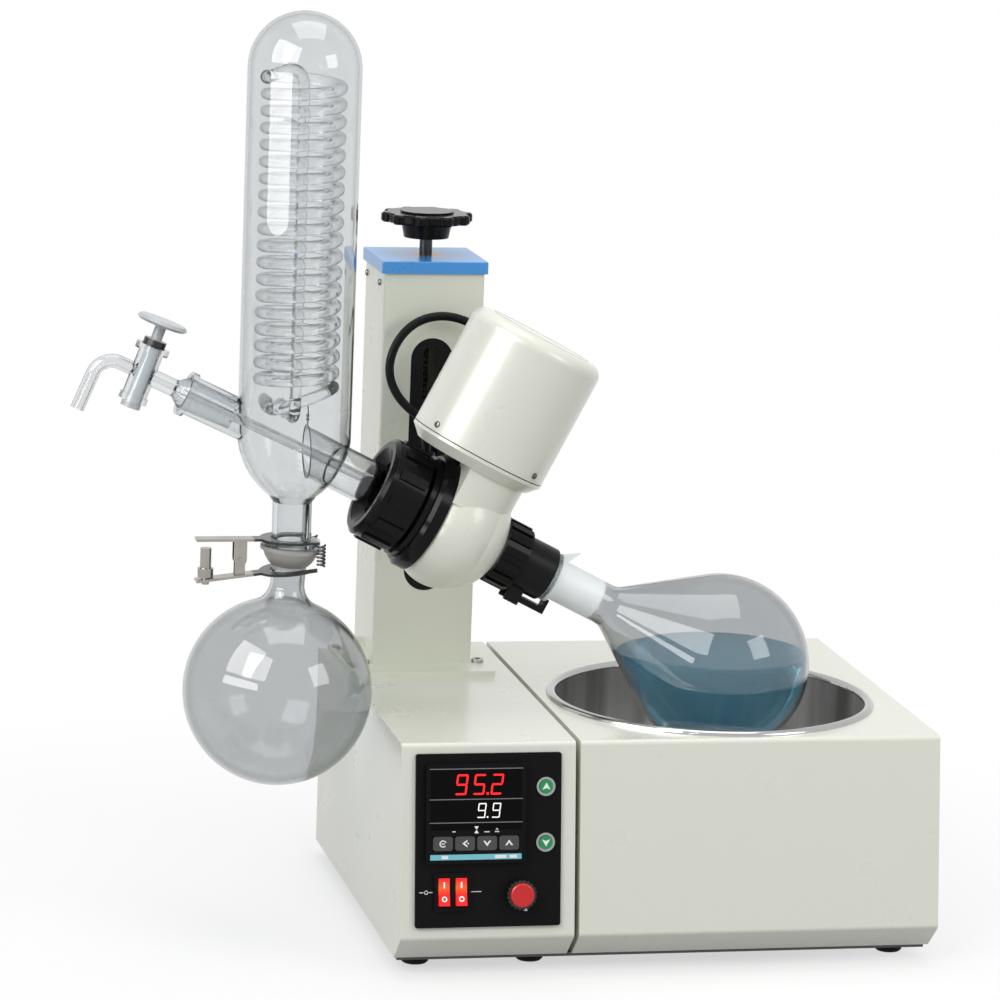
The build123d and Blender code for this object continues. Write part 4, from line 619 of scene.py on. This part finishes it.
def seven_segments(digit, x, t, width, height, bar, slant=0.12):
    """Outlines of a lit digit whose lower left corner is at x, t."""
    half = height / 2
    level = {"a": height - bar / 2, "g": half, "d": bar / 2}
    upright = {"f": (bar / 2, half, height), "b": (width - bar / 2, half, height)}
    upright.update({"e": (bar / 2, 0, half), "c": (width - bar / 2, 0, half)})
    gap = bar * 0.2
    outlines = []
    for name in SEGMENTS[digit]:
        if name in level:
            y = level[name]
            raw = [(gap, y), (bar / 2 + gap, y + bar / 2), (width - bar / 2 - gap, y + bar / 2)]
            raw += [(width - gap, y), (width - bar / 2 - gap, y - bar / 2), (bar / 2 + gap, y - bar / 2)]
        else:
            cx, low, high = upright[name]
            foot, head = low + bar / 2 + gap, high - bar / 2 - gap
            raw = [(cx, low + gap), (cx + bar / 2, foot), (cx + bar / 2, head)]
            raw += [(cx, high - gap), (cx - bar / 2, head), (cx - bar / 2, foot)]
        outlines.append([(x + px + slant * py, t + py) for px, py in raw])
    return outlines


def rectangle(x, t, width, height):
    """Outline of a rectangle centred at x, t."""
    return [
        (x - width / 2, t - height / 2),
        (x + width / 2, t - height / 2),
        (x + width / 2, t + height / 2),
        (x - width / 2, t + height / 2),
    ]


digit_red = lamp("digit_red", srgb(255, 20, 20), 1.2)
digit_white = lamp("digit_white", srgb(240, 236, 232), 0.6)
# Printed marks given a faint glow: painted light, as ink gives off none
print_white = lamp("print_white", srgb(232, 232, 232), 0.12)
print_grey = lamp("print_grey", srgb(112, 112, 114), 0.1)
print_teal = lamp("print_teal", srgb(112, 186, 200), 0.15)

RED_DIGITS = [("9", -52.5), ("5", -38.5), ("2", -24.5)]
RED_BASE, RED_SIZE, RED_BAR = 113, (9, 16), 1.4
WHITE_DIGITS = [("9", -35.0), ("9", -23.5)]
WHITE_BASE, WHITE_SIZE, WHITE_BAR = 95, (6.4, 11.5), 0.85
POINT_X = -26.6
STRIPE_T = 64.8
STRIPE_LIGHTS = ((-60.0, 5.0), (-16.0, 9.0), (-6.0, 6.0))



def digit_bars(digits, base, size, bar):
    """Outlines of a row of digits, each given with its left edge."""
    return [bars for d, x in digits for bars in seven_segments(d, x, base, *size, bar)]


red_bars = digit_bars(RED_DIGITS, RED_BASE, RED_SIZE, RED_BAR)
red_bars.append(rectangle(POINT_X, RED_BASE + 0.9, 1.8, 1.8))
marks("display_digits_red", red_bars, CASE_FACE, digit_red, "base")
white_bars = digit_bars(WHITE_DIGITS, WHITE_BASE, WHITE_SIZE, WHITE_BAR)
white_bars.append(rectangle(POINT_X, WHITE_BASE + 0.6, 1.2, 1.2))
marks("display_digits_white", white_bars, CASE_FACE, digit_white, "base")
marks(
    "display_lines",
    [rectangle(CASE_X, t, 73.5, 0.7) for t in (133.2, 109.6, 91.5)],
    CASE_FACE,
    print_grey,
    "base",
)
marks("display_stripe", [rectangle(CASE_X, STRIPE_T, 72, 4.2)], CASE_FACE, print_teal, "base")
marks(
    "display_stripe_lights",
    [rectangle(x, STRIPE_T, width, 2.4) for x, width in STRIPE_LIGHTS],
    CASE_FACE + PRINT_THICK,
    print_white,
    "base",
)


ARROW_SIZE = 3.2


def triangle(x, t, size, up):
    """Arrowhead with a notched base, pointing up or down."""
    way = 1 if up else -1
    return [
        (x, t + way * size),
        (x + size, t - way * size * 0.75),
        (x, t - way * size * 0.35),
        (x - size, t - way * size * 0.75),
    ]


for way, t in (("up", UP_BUTTON_T), ("down", DOWN_BUTTON_T)):
    arrow = triangle(BUTTON_X, t, ARROW_SIZE, way == "up")
    marks(f"{way}_arrow", [arrow], BUTTON_FACE, print_white, f"{way}_button")


def arc_band(x, t, inner, outer, start=0.0, sweep=360.0, steps=28):
    """Outline of a curved band; a full ring is cut by a hair's breadth."""
    angles = [radians(start + min(sweep, 359.0) * i / steps) for i in range(steps + 1)]
    rim = [(x + outer * cos(a), t + outer * sin(a)) for a in angles]
    return rim + [(x + inner * cos(a), t + inner * sin(a)) for a in reversed(angles)]


def chevron(x, t, size, turn):
    """V-shaped mark, turned by an angle in degrees."""
    shape = ((-1, 0.6), (0, -0.75), (1, 0.6), (0.5, 0.6), (0, -0.1), (-0.5, 0.6))
    c, s = cos(radians(turn)), sin(radians(turn))
    return [(x + size * (c * u - s * v), t + size * (s * u + c * v)) for u, v in shape]


KEY_T = 75.4
KEY_XS = (-61.6, -44.2, -26.8, -9.4)
KEY_MARKS = (
    [arc_band(KEY_XS[0], KEY_T, 1.9, 2.8, 20, 300), rectangle(KEY_XS[0], KEY_T, 2.4, 0.8)],
    [chevron(KEY_XS[1], KEY_T, 3.0, 270), rectangle(KEY_XS[1] + 2.4, KEY_T, 1.1, 1.1)],
    [chevron(KEY_XS[2], KEY_T, 3.2, 0)],
    [chevron(KEY_XS[3], KEY_T, 3.2, 180)],
)
for number, outlines in enumerate(KEY_MARKS, start=1):
    marks(f"key_mark_{number}", outlines, KEY_FACE, print_white, f"display_key_{number}")
marks(
    "display_signs",
    [
        [(-37.0, 88.6), (-33.4, 88.6), (-35.2, 85.9)],
        [(-37.0, 83.2), (-35.2, 85.9), (-33.4, 83.2)],
        rectangle(-53.0, 84.6, 2.6, 0.7),
        rectangle(-27.0, 84.2, 4.2, 0.7),
        rectangle(-19.0, 84.2, 3.4, 0.7),
        chevron(-19.0, 86.2, 1.2, 180),
    ],
    CASE_FACE,
    print_white,
    "base",
)
marks(
    "panel_signs",
    [
        arc_band(-73.5, ROCKER_T, 1.1, 1.6),
        rectangle(-77.3, ROCKER_T, 3.2, 0.6),
        rectangle(-69.9, ROCKER_T, 3.0, 0.6),
        rectangle(-34.0, ROCKER_T, 8.0, 0.5),
        [(3.6, 21.4), (6.8, 21.4), (5.2, 24.6)],
    ],
    PANEL_FACE,
    print_white,
    "base",
)

ROCKER_PIVOT = 3.5
ROCKER_REST = FRONT_LEAN + radians(8)
ROCKER_DIP = 2.2
ROCKER_SLOPE = 1.2 / 10.8
ROCKER_ALONG = Vector((0, sin(ROCKER_REST), cos(ROCKER_REST)))
ROCKER_OUT = Vector((0, -cos(ROCKER_REST), sin(ROCKER_REST)))


def rocker_marks(name, x, body):
    """Stroke on the upper half of a rocker and ring on the lower half."""
    pivot = on_front(x, ROCKER_T, ROCKER_PIVOT)
    bm = bmesh.new()
    for outline in (rectangle(0, 5.4, 1.1, 4.6), arc_band(0, -5.4, 1.3, 2.1)):
        add_prism(
            bm,
            outline,
            0.2,
            lambda across, u, z: pivot
            + Vector((across, 0, 0))
            + ROCKER_ALONG * u
            + ROCKER_OUT * (ROCKER_DIP + ROCKER_SLOPE * abs(u) + z - 0.02),
        )
    # The stroke and ring are printed marks given the glowing digit material: a painted glow
    piece(name, mesh_from(bm, name), digit_white, body)


rocker_marks("heating_rocker_marks", HEATING_ROCKER_X, "heating_rocker")
rocker_marks("rotary_rocker_marks", ROTARY_ROCKER_X, "rotary_rocker")


# Small fasteners
SCREW_PROFILE = ((1.0, -0.2), (1.0, 0.25), (0.86, 0.48), (0.55, 0.6), (0.25, 0.62))


def lathe(bm, profile, origin, axis, segments=24):
    """Turned form from (radius, height) points about an axis, closed at both ends."""
    side = axis.orthogonal().normalized()
    other = axis.cross(side)
    rings = []
    for radius, height in profile:
        angles = [2 * pi * i / segments for i in range(segments)]
        places = [origin + axis * height + (side * cos(a) + other * sin(a)) * radius for a in angles]
        rings.append([bm.verts.new(place * MM) for place in places])
    bm.faces.new(rings[0])
    bm.faces.new(rings[-1])
    for low, high in zip(rings, rings[1:]):
        for i in range(segments):
            j = (i + 1) % segments
            bm.faces.new((low[i], low[j], high[j], high[i]))


def screws(name, places, radius, body):
    """Pan-head screws whose cross recesses are black bars of painted shade on the head; places are
    (point, outward direction).
    """
    heads, slots = bmesh.new(), bmesh.new()
    for origin, out in places:
        lathe(heads, [(radius * r, radius * h) for r, h in SCREW_PROFILE], origin, out)
        side = out.orthogonal().normalized()
        # Painted shade: flat black bars stand on the dome for the dark of the cross recess
        for a, b in ((side, out.cross(side)), (out.cross(side), side)):
            bar = rectangle(0, 0, radius * 1.1, radius * 0.26)
            add_prism(
                slots,
                bar,
                PRINT_THICK,
                lambda x, y, z: origin + a * x + b * y + out * (radius * 0.55 + z),
            )
    piece(name, mesh_from(heads, name), screw_steel, body)
    piece(name + "_recess_shade", mesh_from(slots, name + "_recess_shade"), black_satin, body)


MOTOR_RADIUS = 56.5
MOTOR_SHIFT = -5
MOTOR_SCREW_HEIGHT = 68
MOTOR_SCREW_ANGLES = (148, 48, -32, -132)
COLUMN_SCREW_Z = 504
COLUMN_SIDES = ((-69.5, LEFT), (13.5, RIGHT))
HOUSING_BACK = 187.5
INLET_BACK, INLET_Z = 189.5, 60


def motor_screw(angle):
    """Place and direction of a screw on the motor cover's skirt."""
    out = ALONG * cos(radians(angle)) - Vector((0, sin(radians(angle)), 0))
    return on_shaft(MOTOR_SHIFT, MOTOR_SCREW_HEIGHT) + out * MOTOR_RADIUS, out


screws("motor_cover_screws", [motor_screw(angle) for angle in MOTOR_SCREW_ANGLES], 2.6, "head")
screws(
    "column_screws",
    [(Vector((x, y, COLUMN_SCREW_Z)), out) for x, out in COLUMN_SIDES for y in (104, 160)],
    2.8,
    "base",
)
screws(
    "housing_screws",
    [(Vector((x, HOUSING_BACK, z)), BACK) for x in (-84, 36, 58, 332) for z in (22, 174)],
    2.2,
    "base",
)
BOLT_PROFILE = ((5.0, -0.2), (5.0, 2.5), (4.4, 3.2), (2.6, 3.2), (2.6, 1.2), (1.0, 1.0))
SOCKET_RADIUS, SOCKET_FLOOR = 2.5, 1.3


def column_bolts():
    """Socket-head bolts at the corners of the column's foot, each with its hexagon socket drawn as a
    black hexagon of painted shade in the head's recess.
    """
    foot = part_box("column_base")[1][2] / MM
    heads, sockets = bmesh.new(), bmesh.new()
    for x in (-76, 20):
        for y in (88, 170):
            lathe(heads, BOLT_PROFILE, Vector((x, y, foot)), UP, 32)
            floor_z = foot + SOCKET_FLOOR
            corners = [radians(a) for a in range(0, 360, 60)]
            hexagon = [(SOCKET_RADIUS * cos(a), SOCKET_RADIUS * sin(a)) for a in corners]
            # Painted shade: a black hexagon at the floor of the head's round recess stands for the dark
            # of the deep socket
            add_prism(sockets, hexagon, 0.2, lambda u, v, z: Vector((x + u, y + v, floor_z + z)))
    piece("column_bolt_heads", mesh_from(heads, "column_bolt_heads"), steel, "base")
    piece("column_bolt_socket_shade", mesh_from(sockets, "column_bolt_socket_shade"), black_satin, "base")


column_bolts()
screws("inlet_screws", [(Vector((x, INLET_BACK, INLET_Z)), BACK) for x in (-44, -4)], 1.8, "base")

# Seams of the motor cover
SEAM_POINTS = 48
MOTOR_SEAT, MOTOR_END, MOTOR_CAP_RADIUS = 62, 166, 42


def motor_seam(name, height, radius, material):
    """Thin dark joint line round the motor at a height along its axis."""
    reach = radius / cos(pi / SEAM_POINTS)
    centre = on_shaft(MOTOR_SHIFT, height)
    turns = [2 * pi * i / SEAM_POINTS for i in range(SEAM_POINTS)]
    points = [centre + (ALONG * cos(a) + BACK * sin(a)) * reach for a in turns]
    wire(name, points, 0.35, material, "head", closed=True)


motor_seam("motor_foot_seam", MOTOR_SEAT, MOTOR_RADIUS, black_satin)
motor_seam("motor_cap_seam", MOTOR_END - 0.2, MOTOR_CAP_RADIUS, screw_steel)

# Wires: the hoop that hangs round the vapour arm's mouth, and the clamp's springs
spring_steel = metal("spring_steel", srgb(96, 96, 98), srgb(70, 70, 72), 0.3)
HOOP_X = -152
HOOP_HALF_WIDTH, HOOP_HALF_HEIGHT = 19.0, 21.4
HOOP_POINTS = 20
COIL_UNDERSIDE = 427.0
hoop_centre = on_shaft((HOOP_X - HEAD.x) / ALONG.x)
hoop_top = hoop_centre + Vector((0, 0, HOOP_HALF_HEIGHT - 0.4))
hoop_angles = [2 * pi * i / HOOP_POINTS for i in range(HOOP_POINTS)]
hoop_oval = [Vector((0, HOOP_HALF_WIDTH * cos(a), HOOP_HALF_HEIGHT * sin(a))) for a in hoop_angles]
wire(
    "vapour_hoop",
    [hoop_centre + place for place in hoop_oval],
    0.45,
    spring_steel,
    "head",
    closed=True,
)
hook = Vector((HOOP_X, HEAD.y, COIL_UNDERSIDE))
hook_bow = (hoop_top + hook) / 2 + Vector((0.6, 0, 0))
wire("vapour_hoop_hook", [hoop_top, hook_bow, hook], 0.5, spring_steel, "head")
BEAD_PROFILE = ((0.3, -1.3), (1.0, -0.9), (1.4, 0.0), (1.0, 0.9), (0.3, 1.3))
bead_mesh = bmesh.new()
for share in (0.3, 0.5):
    lathe(bead_mesh, BEAD_PROFILE, hoop_top.lerp(hook, share), UP)
piece("vapour_hoop_beads", mesh_from(bead_mesh, "vapour_hoop_beads"), spring_steel, "head")

SPRING_RADIUS, SPRING_LOW, SPRING_HIGH = 2.8, 302.5, 319.5
SPRING_TURNS, SPRING_STEPS = 6, 12


def prong_spring(name, side):
    """Short coil under the tip of the upper jaw's prong."""
    centre = Vector((BALL.x + 21, BALL.y + side * 19, 0))
    points = []
    for i in range(SPRING_TURNS * SPRING_STEPS + 1):
        angle = 2 * pi * i / SPRING_STEPS
        rise = SPRING_LOW + (SPRING_HIGH - SPRING_LOW) * i / (SPRING_TURNS * SPRING_STEPS)
        points.append(centre + Vector((SPRING_RADIUS * cos(angle), SPRING_RADIUS * sin(angle), rise)))
    wire(name, points, 0.9, spring_steel, "head")


prong_spring("prong_spring_front", -1)
prong_spring("prong_spring_back", 1)


# Stage: camera, floor, light
def camera():
    """Camera at the photograph's place and turn."""
    bearing = Vector((sin(CAMERA_YAW), cos(CAMERA_YAW), 0))
    ahead = bearing * cos(CAMERA_PITCH) - Vector((0, 0, sin(CAMERA_PITCH)))
    level = Vector((cos(CAMERA_YAW), -sin(CAMERA_YAW), 0))
    above = level.cross(ahead)
    right = cos(CAMERA_ROLL) * level + sin(CAMERA_ROLL) * above
    up = cos(CAMERA_ROLL) * above - sin(CAMERA_ROLL) * level
    data = bpy.data.cameras.new("camera")
    data.lens = CAMERA_LENS
    data.sensor_width = 36.0
    data.clip_end = 100.0
    obj = bpy.data.objects.new("camera", data)
    turn = Matrix((right, up, -ahead)).transposed().to_4x4()
    obj.matrix_world = Matrix.Translation(CAMERA_PLACE * MM) @ turn
    bpy.context.scene.collection.objects.link(obj)
    bpy.context.scene.camera = obj


FLOOR_RADIUS = 6.0
FLOOR_FADE = (0.25, 0.75)


def floor():
    """Pale round floor that fades into the white surround and throws back little light."""
    bm = bmesh.new()
    bmesh.ops.create_circle(bm, cap_ends=True, segments=96, radius=FLOOR_RADIUS)
    obj = bpy.data.objects.new("floor", mesh_from(bm, "floor"))
    bpy.context.scene.collection.objects.link(obj)
    shader = Shader("floor_white").set(Roughness=0.9)
    glow = shader.add("ShaderNodeEmission")
    far = shader.add("ShaderNodeVectorMath", operation="LENGTH")
    shader.link(shader.place, far.inputs[0])
    light = shader.add("ShaderNodeLightPath")
    seen = shader.math("MAXIMUM", light.outputs["Is Camera Ray"], light.outputs["Is Glossy Ray"])
    seen = shader.math("MAXIMUM", seen, light.outputs["Is Transmission Ray"])
    pale = shader.blend(shader.noise(2.0), srgb(246, 246, 246), srgb(243, 243, 243))
    shader.colour(shader.blend(seen, srgb(150, 150, 150), pale))
    white = shader.ramp(far.outputs["Value"], 0.6, 1.0, *FLOOR_FADE)
    share = shader.math("MULTIPLY", white, shader.ramp(seen, 0.1, 1.0))
    mix = shader.add("ShaderNodeMixShader")
    shader.link(share, mix.inputs["Fac"])
    shader.link(shader.bsdf.outputs["BSDF"], mix.inputs[1])
    shader.link(glow.outputs["Emission"], mix.inputs[2])
    shader.link(mix.outputs["Shader"], shader.output.inputs["Surface"])
    obj.data.materials.append(shader.material)


def surround():
    """White for what the camera, mirrors and glass see, a softer light for the rest."""
    world = bpy.data.worlds.new("surround")
    bpy.context.scene.world = world
    world.use_nodes = True
    tree = world.node_tree
    tree.nodes.clear()
    light = tree.nodes.new("ShaderNodeLightPath")
    seen = tree.nodes.new("ShaderNodeMath")
    seen.operation = "MAXIMUM"
    both = tree.nodes.new("ShaderNodeMath")
    both.operation = "MAXIMUM"
    tree.links.new(light.outputs["Is Camera Ray"], seen.inputs[0])
    tree.links.new(light.outputs["Is Glossy Ray"], seen.inputs[1])
    tree.links.new(seen.outputs["Value"], both.inputs[0])
    tree.links.new(light.outputs["Is Transmission Ray"], both.inputs[1])
    strength = tree.nodes.new("ShaderNodeMapRange")
    strength.inputs["To Min"].default_value = 0.45
    strength.inputs["To Max"].default_value = 1.0
    tree.links.new(both.outputs["Value"], strength.inputs["Value"])
    background = tree.nodes.new("ShaderNodeBackground")
    background.inputs["Color"].default_value = (1.0, 1.0, 1.0, 1.0)
    tree.links.new(strength.outputs["Result"], background.inputs["Strength"])
    output = tree.nodes.new("ShaderNodeOutputWorld")
    tree.links.new(background.outputs["Background"], output.inputs["Surface"])


def softbox(name, place, target, width, height, power, shine_only=False):
    """Rectangular soft light aimed at a point, in metres; it may show in reflections alone."""
    data = bpy.data.lights.new(name, "AREA")
    data.shape = "RECTANGLE"
    data.size = width
    data.size_y = height
    data.energy = power
    obj = bpy.data.objects.new(name, data)
    aim = Vector(target) - Vector(place)
    obj.location = place
    obj.rotation_euler = aim.to_track_quat("-Z", "Y").to_euler()
    obj.visible_diffuse = not shine_only
    obj.visible_transmission = not shine_only
    bpy.context.scene.collection.objects.link(obj)


camera()
floor()
surround()
softbox("key", (-1.9, -2.0, 2.3), (0, 0, 0.35), 1.8, 1.8, 45)
softbox("fill", (1.9, -1.9, 1.5), (0, 0, 0.3), 1.2, 1.2, 19)
softbox("top", (0.1, 0.0, 2.8), (0, 0, 0.3), 1.8, 1.8, 24)
softbox("card_left", (-1.5, -0.7, 1.54), (-0.16, -0.04, 0.25), 1.3, 1.3, 40, shine_only=True)
softbox("card_low", (-1.09, -0.64, 0.515), (-0.16, -0.04, 0.515), 0.95, 0.18, 5, shine_only=True)
bpy.context.scene.view_settings.view_transform = "Standard"
